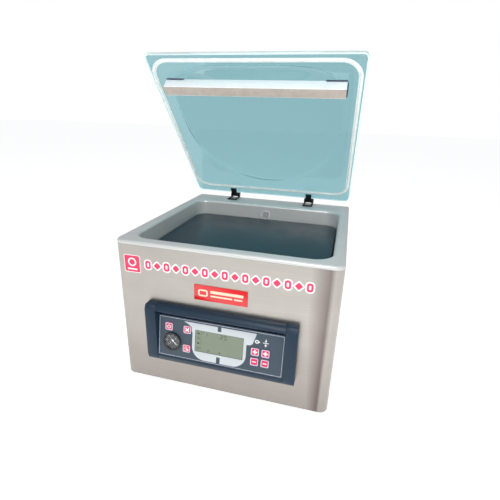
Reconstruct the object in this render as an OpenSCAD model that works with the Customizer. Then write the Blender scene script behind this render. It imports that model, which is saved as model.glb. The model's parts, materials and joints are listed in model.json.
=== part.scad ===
// Tabletop chamber vacuum packing machine with a domed clear lid, shown with the lid open.
// Millimetres. +Z is up and the front faces -Y. The origin is on the floor, at the middle of the
// overall width and depth. Measures that start with "drop" are counted down from the deck.

/* [Body] */
// Width of the body
body_w = 490; // [430:5:590]
// Depth of the body, without the control bezel
body_d = 502; // [440:1:603]
// Height of the front panel, from its lower edge to the deck
body_h = 348; // [320:1:420]
// Height of the rubber feet
foot_h = 20; // [12:1:35]
// Radius of a rubber foot
foot_r = 19; // [12:0.5:28]
// Distance from the body's edges to the middle of each foot
foot_inset = 55; // [40:1:90]
// Thickness of the wrapped housing sheet
sheet_t = 1.5; // [1:0.1:2.5]
// Bend radius of the two upright front edges
front_edge_r = 20; // [8:1:24]
// Radius of the two rear corners of the deck
rear_edge_r = 6; // [5.5:0.5:12]

/* [Deck and chamber] */
// Thickness of the deck sheet
deck_t = 2; // [1.5:0.1:3]
// Bend radius of the deck's outer edge
deck_bend_r = 5; // [3:0.5:5.5]
// Height of the deck's turned-down skirt
skirt_h = 8; // [6.5:0.5:14]
// Seam between the skirt and the housing below it
seam = 0.4; // [0.2:0.1:1]
// Width of the deck's rim at each side of the chamber
side_rim = 26.8; // [24:0.2:40]
// Width of the deck's rim in front of the chamber
front_rim = 29.7; // [28:0.1:45]
// Width of the deck's rim behind the chamber, where the hinges stand
rear_rim = 83.3; // [78:0.1:110]
// Radius of the chamber's front corners
chamber_front_r = 42; // [20:1:50]
// Radius of the chamber's rear corners
chamber_rear_r = 35; // [20:1:50]
// Depth of the chamber below the deck
chamber_depth = 115; // [100:1:130]
// Thickness of the chamber's floor
floor_t = 3; // [2:0.5:5]
// Radius of the rolled rim where the deck turns down into the chamber
rim_roll_r = 7; // [4:0.5:10]

/* [Insert plates] */
// Depth of the upper insert plate's top below the deck
plate_drop = 42.6; // [38:0.2:55]
// Gap between the plates and the chamber's walls
plate_gap = 4.4; // [2:0.2:8]
// Gap between the plates and the seal bar
plate_bar_gap = 12; // [6:0.5:20]
// Gap between stacked plates
stack_gap = 0.3; // [0.2:0.1:1]

/* [Suction port] */
// Radius of the round suction grille
grille_r = 13.5; // [10:0.5:15]
// Depth of the grille's middle below the deck
grille_drop = 30; // [27:0.5:34]
// Thickness of the grille
grille_t = 2.4; // [1.5:0.1:3]
// Radius of the port behind the grille
port_r = 10; // [6:0.5:12]

/* [Lid] */
// Gap between the lid's side edge and the body's side
lid_side_inset = 3; // [2:0.5:8]
// Gap between the lid's front edge and the body's front, when closed
lid_front_inset = 2; // [1:0.5:10]
// Gap between the lid's rear edge and the hinge pin's middle
lid_to_pin = 15; // [12:0.5:20]
// Thickness of the lid
lid_t = 8; // [6:0.5:12]
// Radius of the lid's corners
lid_corner_r = 13; // [8:1:25]
// Height of the closed lid's underside over the deck
lid_lift = 4; // [3.5:0.1:6]
// Angle between the open lid and the closed lid, in degrees
lid_open_angle = 48.85; // [30:0.05:60]
// Height of the dome over the lid's flat flange
dome_h = 50; // [20:1:80]
// Width of the flat flange beside the dome
dome_side_flange = 42; // [38:1:60]
// Width of the flat flange behind the dome
dome_rear_flange = 77; // [60:1:100]
// Width of the flat flange in front of the dome
dome_front_flange = 28; // [26:1:50]
// Distance from the lid's rear edge to the widest part of the dome
dome_wide_at = 300; // [250:5:330]

/* [Lid seal] */
// Width of the seal ring
seal_w = 9; // [6:0.5:12]
// Distance from the chamber's edge to the middle of the seal ring
seal_offset = 12.6; // [8:0.1:14]
// Distance from the chamber's rear edge to the middle of the seal ring
seal_rear_offset = 26.9; // [20:0.1:34]
// Radius of the seal ring's corners
seal_corner_r = 40; // [25:1:55]
// Gap between the closed lid's seal and the deck
seal_gap = 0.3; // [0.2:0.1:0.6]

/* [Seal bars] */
// Length of the seal bar and of the counter bar
bar_len = 410; // [330:5:420]
// Distance from the chamber's front wall to the middle of the bars
bar_setback = 46.3; // [40:0.1:60]
// Width of the counter bar on the lid
counter_w = 24; // [18:0.5:30]
// Height of the counter bar with its silicone strip
counter_h = 27; // [20:0.5:32]
// Width of the silicone strip
silicone_w = 20; // [12:0.5:26]
// Depth of the silicone strip's seat
silicone_seat = 6; // [3:0.5:10]
// Width of the heated seal bar
seal_bar_w = 18; // [12:0.5:24]
// Height of the heated seal bar
seal_bar_h = 22; // [14:0.5:28]
// Travel of the seal bar
bar_travel = 7; // [4:0.5:9]
// Radius of the lift rods
rod_r = 5; // [3:0.5:8]
// Distance of each lift rod from the middle
rod_x = 150; // [100:5:160]
// Radial running clearance of rods, pistons, pins and shafts
run_fit = 0.05; // [0.01:0.01:0.1]
// Outer radius of a lift cylinder
lift_cyl_r = 18; // [15:0.5:25]
// Length of a lift cylinder
lift_cyl_len = 58; // [45:1:75]

/* [Hinges] */
// Distance of each hinge from the middle
hinge_x = 120; // [80:5:180]
// Height of the hinge pin over the deck
pin_z = 9; // [8.5:0.5:12]
// Radius of the hinge pin
pin_r = 3; // [2:0.25:4]
// Width of the hinge base
hinge_base_w = 29; // [26:0.5:40]
// Width of the hinge leaf
hinge_leaf_w = 17.5; // [12:0.5:19]
// Outer radius of the leaf's knuckle
knuckle_r = 6.5; // [5.5:0.25:7.5]
// Distance from the deck's rear edge to the hinge pin
pin_from_rear = 7; // [6:0.5:10]
// Length of the hinge leaf on the lid
leaf_len = 23; // [16:0.5:24]
// Wire radius of the torsion spring
spring_wire_r = 1.4; // [0.8:0.1:1.5]

/* [Control bezel] */
// Width of the bezel
bezel_w = 340; // [320:1:380]
// Drop from the deck to the bezel's top
bezel_drop = 136; // [132:1:160]
// Height of the bezel
bezel_h = 143; // [140:1:160]
// How far the bezel's lip stands out of the front panel
bezel_proud = 20.5; // [18:0.5:30]
// Width of each end cap
cap_w = 25; // [16:0.5:30]
// Seam between the bezel and its end caps
cap_seam = 0.3; // [0.1:0.1:0.8]
// Thickness of the control plate
panel_t = 2; // [1.5:0.1:3]
// Tilt of the control plate, in degrees
panel_tilt = 9.2; // [4:0.1:9.5]
// Drop from the deck to the control plate's upper edge
panel_drop = 165.7; // [165:0.1:190]
// How far the control plate's upper edge stands out of the front panel
panel_proud = 4; // [3.5:0.5:6]
// Length of the control plate along its tilt
panel_len = 97; // [94:0.5:100]

/* [Controls] */
// Side of a square button
button_s = 17.4; // [12:0.1:18]
// Radius of a button's corners
button_r = 3; // [1:0.5:6]
// How far a button stands out of the control plate
button_proud = 1.2; // [1:0.1:3]
// Travel of a button
button_travel = 0.8; // [0.3:0.1:0.8]
// Gap between a button and its hole
button_gap = 0.3; // [0.3:0.05:0.4]
// Width of the display's visible glass
lcd_w = 111; // [90:1:111]
// Height of the display's visible glass
lcd_h = 51; // [40:1:51]
// Outer radius of the gauge's ring
gauge_r = 21.5; // [16:0.5:22]
// Width of the gauge's ring
gauge_ring = 4; // [2:0.5:5]
// How far the gauge's ring stands out of the control plate
gauge_proud = 4; // [2:0.5:5]

/* [Inner works] */
// Radius of the pump motor
motor_r = 60; // [45:1:66]
// Length of the pump motor
motor_len = 150; // [110:5:155]
// Radius of the motor shaft
shaft_r = 7; // [4:0.5:10]
// Height of the pump's rubber mounts
mount_h = 14; // [8:1:22]
// Radius of the vacuum hose
hose_r = 10; // [7:0.5:13]
// Bend radius of the vacuum hose
hose_bend_r = 36; // [26:1:40]
// Side of the cooling fan
fan_s = 120; // [80:5:120]
// Depth of the cooling fan
fan_t = 25; // [20:1:30]

/* [Hidden] */

steel = [0.76, 0.75, 0.72];
deck_steel = [0.68, 0.72, 0.71];
navy = [0.13, 0.21, 0.28];
slate = [0.28, 0.33, 0.37];
pale_grey = [0.79, 0.82, 0.83];
crimson = [0.87, 0.12, 0.33];
black = [0.05, 0.05, 0.06];
zinc = [0.6, 0.62, 0.64];
white_alu = [0.9, 0.92, 0.93];

arc_n = 64;
eps = 0.01;
deck_z = foot_h + body_h;
half_w = body_w / 2;
front_y = -body_d / 2;
rear_y = body_d / 2;
inner_rear_y = rear_y - sheet_t;
screw_head_h = 2;
// Everything is drawn about the body's middle, then moved so that the origin is the box's middle.
box_shift_y = (bezel_proud - screw_head_h) / 2;

chamber_half = half_w - side_rim;
chamber_y0 = front_y + front_rim;
chamber_y1 = rear_y - rear_rim;
chamber_floor_z = deck_z - chamber_depth;
tub_bottom_z = chamber_floor_z - floor_t;
housing_top_z = deck_z - skirt_h - seam;
base_t = 2;
base_z = foot_h + base_t;

pin_y = rear_y - pin_from_rear;
pin_z_abs = deck_z + pin_z;
lid_rear_y = pin_y - lid_to_pin;
lid_front_y = front_y + lid_front_inset;
lid_half = half_w - lid_side_inset;
lid_z = deck_z + lid_lift;
bar_y = chamber_y0 + bar_setback;
silicone_face_z = lid_z - counter_h;
seal_bar_top_z = silicone_face_z - bar_travel - 0.2;
tape_t = 0.4;
wire_t = 0.4;

stem_len = 3;
board_drop = panel_t + 4.5;

module place() translate([0, box_shift_y, 0]) children();

// Swings what is drawn for the closed lid up to its open rest position.
module lid_pose()
    translate([0, pin_y, pin_z_abs]) rotate([-lid_open_angle, 0, 0])
        translate([0, -pin_y, -pin_z_abs]) children();

// The control plate's own frame: x right, y up along the plate, z out of its face.
module on_panel()
    translate([0, front_y - panel_proud, deck_z - panel_drop]) rotate([90 - panel_tilt, 0, 0]) children();

// A rectangle with one radius at its two front corners and another at its two rear corners.
module soft_rect(half_x, y0, y1, r0, r1) {
    translate([-half_x, y0 + r0]) square([2 * half_x, y1 - y0 - r0 - r1]);
    translate([-half_x + r0, y0]) square([2 * (half_x - r0), r0 + eps]);
    translate([-half_x + r1, y1 - r1 - eps]) square([2 * (half_x - r1), r1 + eps]);
    for (side = [-1, 1]) {
        translate([side * (half_x - r0), y0 + r0]) circle(r = r0, $fn = arc_n);
        translate([side * (half_x - r1), y1 - r1]) circle(r = r1, $fn = arc_n);
    }
}

// Sweeps a profile (x outward, y up) around such a rectangle.
module rect_sweep(half_x, y0, y1, r0, r1) {
    translate([half_x, y1 - r1, 0]) rotate([90, 0, 0]) linear_extrude(y1 - y0 - r0 - r1) children();
    translate([-half_x, y0 + r0, 0]) rotate([0, 0, 180]) rotate([90, 0, 0])
        linear_extrude(y1 - y0 - r0 - r1) children();
    translate([half_x - r0, y0, 0]) rotate([0, 0, -90]) rotate([90, 0, 0])
        linear_extrude(2 * (half_x - r0)) children();
    translate([-half_x + r1, y1, 0]) rotate([0, 0, 90]) rotate([90, 0, 0])
        linear_extrude(2 * (half_x - r1)) children();
    translate([half_x - r1, y1 - r1, 0]) rotate_extrude(angle = 90, $fn = arc_n)
        translate([r1, 0]) children();
    translate([-half_x + r1, y1 - r1, 0]) rotate([0, 0, 90]) rotate_extrude(angle = 90, $fn = arc_n)
        translate([r1, 0]) children();
    translate([-half_x + r0, y0 + r0, 0]) rotate([0, 0, 180]) rotate_extrude(angle = 90, $fn = arc_n)
        translate([r0, 0]) children();
    translate([half_x - r0, y0 + r0, 0]) rotate([0, 0, 270]) rotate_extrude(angle = 90, $fn = arc_n)
        translate([r0, 0]) children();
}

// A quarter of a ring, for a sheet bend: outer radius r, thickness t, in the quadrant (qx, qy).
module quarter_ring(r, t, qx, qy)
    intersection() {
        difference() {
            circle(r = r, $fn = arc_n);
            circle(r = r - t, $fn = arc_n);
        }
        translate([qx < 0 ? -r : 0, qy < 0 ? -r : 0]) square(r);
    }

// A cylinder along Y, from y0 to y1.
module y_rod(x, z, y0, y1, r)
    translate([x, y0, z]) rotate([-90, 0, 0]) cylinder(h = y1 - y0, r = r, $fn = arc_n);

// A cylinder along X, from x0 to x1.
module x_rod(x0, x1, y, z, r)
    translate([x0, y, z]) rotate([0, 90, 0]) cylinder(h = x1 - x0, r = r, $fn = arc_n);

// A block between two corners.
module block(a, b) translate(a) cube(b - a);

// A block that fills the given ranges of x, y and z.
module span(x, y, z) block([x[0], y[0], z[0]], [x[1], y[1], z[1]]);

// The range of width w about a middle.
function about(middle, w) = [middle - w / 2, middle + w / 2];

// ---- Body ----

panel_cut_half = bezel_w / 2 - cap_w - 1;
panel_cut_top = deck_z - bezel_drop - 18;
panel_cut_bottom = deck_z - bezel_drop - bezel_h + 14;

module housing_wrap()
    color(steel) difference() {
        translate([0, 0, foot_h]) linear_extrude(housing_top_z - foot_h) difference() {
            wrap_outline(0);
            wrap_outline(sheet_t);
        }
        span(about(0, 2 * panel_cut_half), [front_y - 1, front_y + sheet_t + 1],
             [panel_cut_bottom, panel_cut_top]);
    }

// The wrap's outline, drawn in by one sheet for its inside; it is open at the rear.
module wrap_outline(inset) {
    r = front_edge_r - inset;
    x = half_w - inset;
    y0 = front_y + inset;
    y1 = inner_rear_y + (inset > 0 ? 1 : 0);
    translate([-x, y0 + r]) square([2 * x, y1 - y0 - r]);
    translate([-x + r, y0]) square([2 * (x - r), r + eps]);
    for (side = [-1, 1]) translate([side * (x - r), y0 + r]) circle(r = r, $fn = arc_n);
}

module deck_chamber()
    color(deck_steel) difference() {
        union() {
            deck_sheet();
            deck_edge();
            chamber_roll();
            chamber_tub();
        }
        for (side = [-1, 1]) translate([side * rod_x, bar_y, tub_bottom_z - 1])
            cylinder(h = floor_t + 2, r = rod_r + run_fit, $fn = arc_n);
        y_rod(0, deck_z - grille_drop, chamber_y1 - 1, chamber_y1 + deck_t + 1, port_r);
    }

module deck_sheet()
    translate([0, 0, deck_z - deck_t]) linear_extrude(deck_t) difference() {
        soft_rect(half_w - deck_bend_r, front_y + deck_bend_r, rear_y - deck_bend_r,
                  front_edge_r - deck_bend_r, rear_edge_r - deck_bend_r);
        soft_rect(chamber_half + rim_roll_r, chamber_y0 - rim_roll_r, chamber_y1 + rim_roll_r,
                  chamber_front_r + rim_roll_r, chamber_rear_r + rim_roll_r);
    }

module deck_edge() {
    translate([0, 0, deck_z]) rect_sweep(half_w, front_y, rear_y, front_edge_r, rear_edge_r)
        translate([-deck_bend_r, -deck_bend_r]) quarter_ring(deck_bend_r, deck_t, 1, 1);
    translate([0, 0, deck_z - skirt_h]) linear_extrude(skirt_h - deck_bend_r) difference() {
        soft_rect(half_w, front_y, rear_y, front_edge_r, rear_edge_r);
        soft_rect(half_w - deck_t, front_y + deck_t, rear_y - deck_t,
                  front_edge_r - deck_t, rear_edge_r - deck_t);
    }
}

module chamber_roll()
    translate([0, 0, deck_z]) rect_sweep(chamber_half, chamber_y0, chamber_y1, chamber_front_r, chamber_rear_r)
        translate([rim_roll_r, -rim_roll_r]) quarter_ring(rim_roll_r, deck_t, -1, 1);

module chamber_tub() {
    translate([0, 0, chamber_floor_z]) linear_extrude(chamber_depth - rim_roll_r) difference() {
        tub_outline(deck_t);
        tub_outline(0);
    }
    translate([0, 0, tub_bottom_z]) linear_extrude(floor_t) tub_outline(deck_t);
}

module tub_outline(grow)
    soft_rect(chamber_half + grow, chamber_y0 - grow, chamber_y1 + grow,
              chamber_front_r + grow, chamber_rear_r + grow);

fan_x = 140;
fan_z = base_z + 8 + fan_s / 2;
inlet_x = -185;
inlet_z = foot_h + 50;
grille_rings = 4;
grille_pitch = fan_s * 0.11;
inlet_w = 28;
inlet_h = 48;
vent_rows = 9;
vent_pitch = 12;
vent_len = 96;
vent_x = half_w - 75;
vent_h = 4;
vent_z0 = foot_h + 190;

module rear_panel()
    color(steel) difference() {
        block([-half_w, inner_rear_y, foot_h], [half_w, rear_y, housing_top_z]);
        for (row = [0 : vent_rows - 1]) for (side = [-1, 1])
            span(about(side * vent_x, vent_len), [inner_rear_y - 1, rear_y + 1],
                 [vent_z0 + row * vent_pitch, vent_z0 + row * vent_pitch + vent_h]);
        for (ring = [1 : grille_rings]) for (k = [0 : 5]) rotate_about_fan(k * 60) fan_slot(ring);
        block([inlet_x - inlet_w / 2, inner_rear_y - 1, inlet_z - inlet_h / 2],
              [inlet_x + inlet_w / 2, rear_y + 1, inlet_z + inlet_h / 2]);
    }

module rotate_about_fan(a)
    translate([fan_x, 0, fan_z]) rotate([0, a, 0]) children();

// One arched slot of the fan grille: a ring's part of 48 degrees.
module fan_slot(ring) {
    translate([0, rear_y + 1, 0]) rotate([90, 0, 0]) rotate_extrude(angle = 48, $fn = arc_n)
        translate([ring * grille_pitch, 0]) square([grille_pitch / 2, sheet_t + 2]);
}

base_slots = 6;
base_slot_pitch = 14;

module base_plate()
    color(zinc) translate([0, 0, foot_h]) linear_extrude(base_t) difference() {
        wrap_outline(sheet_t);
        translate([-half_w, inner_rear_y]) square([body_w, 2]);
        for (k = [0 : base_slots - 1])
            translate([60 + k * base_slot_pitch, 120]) square([base_slot_pitch / 2, 90]);
    }

foot_neck_h = 4;

module feet()
    color(black) for (sx = [-1, 1]) for (sy = [-1, 1])
        translate([sx * (half_w - foot_inset), sy * (body_d / 2 - foot_inset), 0]) {
            cylinder(h = foot_h - foot_neck_h, r = foot_r, $fn = arc_n);
            translate([0, 0, foot_h - foot_neck_h - eps])
                cylinder(h = foot_neck_h + eps, r = foot_r - 3, $fn = arc_n);
        }

// ---- Control bezel ----

bezel_half = bezel_w / 2;
rail_half = bezel_half - cap_w;
function out_y(n) = front_y - n;
function down_z(d) = deck_z - d;
panel_foot_n = panel_proud + panel_len * sin(panel_tilt);
panel_foot_drop = panel_drop + panel_len * cos(panel_tilt);
bezel_foot_drop = bezel_drop + bezel_h;
// Gaps between the control plate's edges and the two rails.
rail_gap = 1.6;
foot_gap = 0.6;
web_w = 6;
web_t = 0.8;

// Extrudes a side profile, given as [stand-out, drop] points, from x0 to x1.
module rail(points, x0, x1)
    translate([x0, 0, 0]) rotate([90, 0, 90]) linear_extrude(x1 - x0)
        polygon([for (p = points) [out_y(p[0]), down_z(p[1])]]);

top_rail_points = [[0, bezel_drop], [bezel_proud - 8, bezel_drop], [bezel_proud - 5.5, bezel_drop + 1.5],
    [bezel_proud - 1, bezel_drop + 10], [bezel_proud, bezel_drop + 12.5], [bezel_proud - 2, bezel_drop + 14],
    [panel_proud - 2, panel_drop - rail_gap], [0, panel_drop - rail_gap]];
bottom_rail_points = [[0, panel_foot_drop + foot_gap], [bezel_proud - 1.5, panel_foot_drop + foot_gap],
    [bezel_proud, panel_foot_drop + 2], [bezel_proud - 0.5, panel_foot_drop + 6],
    [bezel_proud - 3.5, bezel_foot_drop - 2.5], [bezel_proud - 6.5, bezel_foot_drop], [0, bezel_foot_drop]];
cap_points = [[0, bezel_drop], [bezel_proud - 8, bezel_drop], [bezel_proud - 5.5, bezel_drop + 1.5],
    [bezel_proud - 1, bezel_drop + 10], [bezel_proud, bezel_drop + 12.5],
    [bezel_proud, panel_foot_drop + 2], [bezel_proud - 0.5, panel_foot_drop + 6],
    [bezel_proud - 3.5, bezel_foot_drop - 2.5], [bezel_proud - 6.5, bezel_foot_drop], [0, bezel_foot_drop]];

module bezel_frame()
    color(navy) {
        rail(top_rail_points, -rail_half, rail_half);
        rail(bottom_rail_points, -rail_half, rail_half);
        for (side = [-1, 1]) back_web(side);
    }

// The strip on the front panel that joins the two rails beside the control plate.
module back_web(side) {
    web = about(side * (rail_half - web_w / 2), web_w);
    top = panel_drop - rail_gap - eps;
    foot = panel_foot_drop + foot_gap + eps;
    rail([[0, top], [web_t, top], [web_t, foot], [0, foot]], web[0], web[1]);
}

module bezel_cap(side)
    color(navy) intersection() {
        rail(cap_points, side > 0 ? rail_half + cap_seam : -bezel_half - 3,
             side > 0 ? bezel_half + 3 : -rail_half - cap_seam);
        translate([0, front_y + 1, deck_z - bezel_foot_drop]) rotate([90, 0, 0])
            linear_extrude(bezel_proud + 2) cap_front_outline();
    }

// The bezel seen from the front, with soft corners.
module cap_front_outline() {
    corner = 3.5;
    translate([-bezel_half, corner]) square([bezel_w, bezel_h - 2 * corner]);
    translate([-bezel_half + corner, 0]) square([bezel_w - 2 * corner, bezel_h]);
    for (sx = [-1, 1]) for (y = [corner, bezel_h - corner])
        translate([sx * (bezel_half - corner), y]) circle(r = corner, $fn = arc_n);
}

// ---- Control plate and what it carries: x from the middle, s down from its upper edge ----

gauge_at = [-110, 59];
// Power, stop, program, then the plus and the minus key of the vacuum and the seal time.
button_at = [[-118.5, 24.6], [-74.5, 25.2], [-75, 70.3], [81.5, 47.6], [104.6, 47.6], [81.5, 70.4],
             [104.6, 70.4]];
lcd_top = 21.3;
button_hole = button_s + 2 * button_gap;

module soft_square(s, r) {
    translate([-s / 2, -s / 2 + r]) square([s, s - 2 * r]);
    translate([-s / 2 + r, -s / 2]) square([s - 2 * r, s]);
    for (sx = [-1, 1]) for (sy = [-1, 1]) translate([sx * (s / 2 - r), sy * (s / 2 - r)])
        circle(r = r, $fn = arc_n);
}

module at_panel(p, z) on_panel() translate([p[0], -p[1], z]) children();

post_at = [[-125, 8], [125, 8], [-60, 91.5], [125, 91.5]];

module control_plate()
    color(slate) {
        on_panel() translate([0, 0, -panel_t]) linear_extrude(panel_t) difference() {
            translate([-rail_half + 0.7, -panel_len]) square([2 * rail_half - 1.4, panel_len]);
            translate([-lcd_w / 2 - 0.3, -lcd_top - lcd_h - 0.3]) square([lcd_w + 0.6, lcd_h + 0.6]);
            for (p = button_at) translate([p[0], -p[1]]) soft_square(button_hole, button_r);
            translate([gauge_at[0], -gauge_at[1]]) circle(r = gauge_r - 1.5, $fn = arc_n);
        }
        for (p = post_at) at_panel(p, -board_drop)
            cylinder(h = board_drop - panel_t + eps, r = 3, $fn = arc_n);
    }

// The printed light surround: a flared head, straight sides and a rounded foot, split in the middle.
module surround_outline() {
    foot_corner = 30;
    half = lcd_w / 2 + 6.5;
    foot = 91.6;
    polygon([[-83, -6.3], [83, -6.3], [75, -31], [70, -34.5], [half, -35.2], [-half, -31], [-69, -13.4]]);
    translate([-half, -foot + foot_corner]) square([2 * half, foot - foot_corner - 30]);
    translate([-half + foot_corner, -foot]) square([2 * (half - foot_corner), foot_corner + eps]);
    for (side = [-1, 1]) translate([side * (half - foot_corner), -foot + foot_corner])
        circle(r = foot_corner, $fn = arc_n);
}

module display_surround()
    color(pale_grey) on_panel() linear_extrude(0.6) difference() {
        surround_outline();
        translate([-lcd_w / 2, -lcd_top - lcd_h]) square([lcd_w, lcd_h]);
        translate([-4.2, -17]) square([8.4, 12]);
        translate([-4.2, -93]) square([8.4, 16]);
        for (p = button_at) translate([p[0], -p[1]]) soft_square(button_hole + 2.4, button_r + 1);
    }

module display_module()
    color([0.5, 0.55, 0.47]) on_panel() translate([-lcd_w / 2, -lcd_top - lcd_h, -board_drop])
        cube([lcd_w, lcd_h, board_drop - 0.4]);

module push_button(index)
    color(crimson) at_panel(button_at[index], 0) {
        translate([0, 0, -panel_t - 0.3 - eps]) linear_extrude(panel_t + 0.3 + button_proud + eps)
            soft_square(button_s, button_r - button_gap);
        translate([0, 0, -panel_t - 1.3]) linear_extrude(1) soft_square(button_s + 3, button_r);
        translate([0, 0, -panel_t - stem_len]) cylinder(h = stem_len - 1, r = 3, $fn = arc_n);
    }

gauge_body_r = gauge_r - 1.8;
gauge_in_r = gauge_r - gauge_ring;
dial_z = -4;
dial_t = 0.6;
needle_shaft_r = 1;

module gauge_case()
    color(black) at_panel(gauge_at, 0) difference() {
        union() {
            cylinder(h = gauge_proud, r = gauge_r, $fn = arc_n);
            translate([0, 0, -22]) cylinder(h = 22 + eps, r = gauge_body_r, $fn = arc_n);
            translate([0, 0, -32]) cylinder(h = 10 + eps, r = 5, $fn = arc_n);
        }
        translate([0, 0, dial_z]) cylinder(h = 20, r = gauge_in_r, $fn = arc_n);
        translate([0, 0, dial_z - 8]) cylinder(h = 9, r = needle_shaft_r + run_fit, $fn = arc_n);
    }

module gauge_dial()
    color([0.1, 0.1, 0.11]) at_panel(gauge_at, dial_z) difference() {
        cylinder(h = dial_t, r = gauge_in_r - 0.1, $fn = arc_n);
        translate([0, 0, -1]) cylinder(h = 3, r = needle_shaft_r + run_fit, $fn = arc_n);
    }

// The needle rests towards the lower right, at the dial's zero.
module gauge_needle()
    color("white") at_panel(gauge_at, dial_z + dial_t + 0.5) rotate([0, 0, -45]) {
        linear_extrude(0.6) polygon([[-5, -0.9], [gauge_in_r - 4, -0.3], [gauge_in_r - 4, 0.3], [-5, 0.9]]);
        cylinder(h = 1, r = 2.2, $fn = arc_n);
        translate([0, 0, -7]) cylinder(h = 7 + eps, r = needle_shaft_r, $fn = arc_n);
    }

module gauge_lens()
    color([0.9, 0.95, 1, 0.3]) at_panel(gauge_at, gauge_proud - 2.4)
        cylinder(h = 1.4, r = gauge_in_r - 0.1, $fn = arc_n);

module control_board()
    color([0.1, 0.4, 0.25]) on_panel() {
        translate([0, 0, -board_drop - 1.6]) linear_extrude(1.6) difference() {
            translate([-131, -94.5]) square([262, 89.5]);
            translate([gauge_at[0], -gauge_at[1]]) circle(r = gauge_body_r + 0.3, $fn = arc_n);
        }
        for (k = [0 : 4]) translate([-50 + k * 26, -60, -board_drop - 9]) cube([16, 22, 7.4 + eps]);
    }

// ---- Front trim ----

badge_w = 119;
badge_h = 36;
badge_drop = 79;

module badge_plate()
    color([0.85, 0.1, 0.1]) block([-badge_w / 2, front_y - 1.2, deck_z - badge_drop - badge_h],
                                  [badge_w / 2, front_y, deck_z - badge_drop]);

decal_t = 0.3;
decal_strip = [-176, 194, 37, 64];
decal_square = [-223, -184, 32, 73];

module front_decals()
    color([0.93, 0.93, 0.94]) for (d = [decal_strip, decal_square])
        block([d[0], front_y - decal_t, deck_z - d[3]], [d[1], front_y, deck_z - d[2]]);

// ---- Chamber contents ----

plate_count = 3;
plate_top_z = deck_z - plate_drop;
plate_step = (plate_top_z - chamber_floor_z) / plate_count;
plate_t = plate_step - stack_gap;

module insert_plate(level)
    color([0.16, 0.25, 0.29]) translate([0, 0, chamber_floor_z + stack_gap + level * plate_step])
        linear_extrude(plate_t) soft_rect(chamber_half - plate_gap, bar_y + seal_bar_w / 2 + plate_bar_gap,
                                          chamber_y1 - plate_gap, 6, chamber_rear_r - plate_gap);

bar_metal_top_z = seal_bar_top_z - tape_t - wire_t;
bar_bottom_z = bar_metal_top_z - seal_bar_h;
bar_end_w = 4;
bar_end_d = 10;

module seal_bar()
    color(white_alu) {
        span([-bar_len / 2, bar_len / 2], about(bar_y, seal_bar_w), [bar_bottom_z, bar_metal_top_z]);
        for (side = [-1, 1])
            span(about(side * (bar_len + bar_end_w) / 2, bar_end_w + 2 * eps), about(bar_y, bar_end_d),
                 [bar_bottom_z + 4, bar_metal_top_z - 4]);
    }

wire_w = 2.5;
wire_gap = 2;

module seal_wires()
    color(zinc) for (side = [-1, 1])
        span([-bar_len / 2, bar_len / 2], about(bar_y + side * (wire_w + wire_gap) / 2, wire_w),
             [bar_metal_top_z, bar_metal_top_z + wire_t]);

tape_side_t = 0.5;
tape_side_h = 12;

module seal_cover_tape()
    color([0.62, 0.5, 0.36]) {
        span([-bar_len / 2, bar_len / 2], about(bar_y, seal_bar_w + 2 * tape_side_t),
             [seal_bar_top_z - tape_t, seal_bar_top_z]);
        for (side = [-1, 1])
            span(about(0, bar_len), about(bar_y + side * (seal_bar_w + tape_side_t) / 2, tape_side_t),
                 [seal_bar_top_z - tape_side_h, seal_bar_top_z - tape_t + eps]);
    }

piston_h = 8;
piston_lift = 12;
lift_wall = 4;
lift_cap_h = 12;
port_stub_h = 10;
port_stub_r = 5;
lift_bore_r = lift_cyl_r - lift_wall;
lift_bottom_z = tub_bottom_z - lift_cyl_len;
piston_z = lift_bottom_z + piston_lift;

module lift_rods()
    color(zinc) for (side = [-1, 1]) translate([side * rod_x, bar_y, piston_z]) {
        cylinder(h = bar_bottom_z - piston_z, r = rod_r, $fn = arc_n);
        cylinder(h = piston_h, r = lift_bore_r - run_fit, $fn = arc_n);
    }

module lift_cylinders()
    color(white_alu) for (side = [-1, 1]) translate([side * rod_x, bar_y, lift_bottom_z]) difference() {
        union() {
            cylinder(h = lift_cyl_len, r = lift_cyl_r, $fn = arc_n);
            translate([0, 0, -port_stub_h]) cylinder(h = port_stub_h + eps, r = port_stub_r, $fn = arc_n);
        }
        translate([0, 0, lift_wall]) {
            cylinder(h = lift_cyl_len - lift_wall - lift_cap_h, r = lift_bore_r, $fn = arc_n);
            cylinder(h = lift_cyl_len, r = rod_r + run_fit, $fn = arc_n);
        }
    }

slat_w = 2.4;
grille_rim = 1.6;

module suction_grille()
    color([0.85, 0.86, 0.86]) difference() {
        y_rod(0, deck_z - grille_drop, chamber_y1 - grille_t, chamber_y1, grille_r);
        intersection() {
            for (k = [-2 : 2]) translate([0, chamber_y1, deck_z - grille_drop]) rotate([0, -45, 0])
                translate([2 * k * slat_w, 0, 0]) cube([slat_w, 4 * grille_t, 2 * grille_r], center = true);
            y_rod(0, deck_z - grille_drop, chamber_y1 - 2 * grille_t, chamber_y1 + 1, grille_r - grille_rim);
        }
    }

// ---- Lid, drawn closed ----

dome_center_y = lid_rear_y - dome_wide_at;
dome_half = lid_half - dome_side_flange;
dome_rear_len = dome_wide_at - dome_rear_flange;
dome_front_len = (lid_rear_y - lid_front_y) - dome_wide_at - dome_front_flange;
// The dome's footprint is an ellipse behind its widest point and squarer in front of it.
rear_power = 2;
front_power = 4.5;
corner_steps = 4;
edge_steps = 12;
rings = [1, 0.95, 0.86, 0.74, 0.6, 0.42, 0.22];

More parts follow.
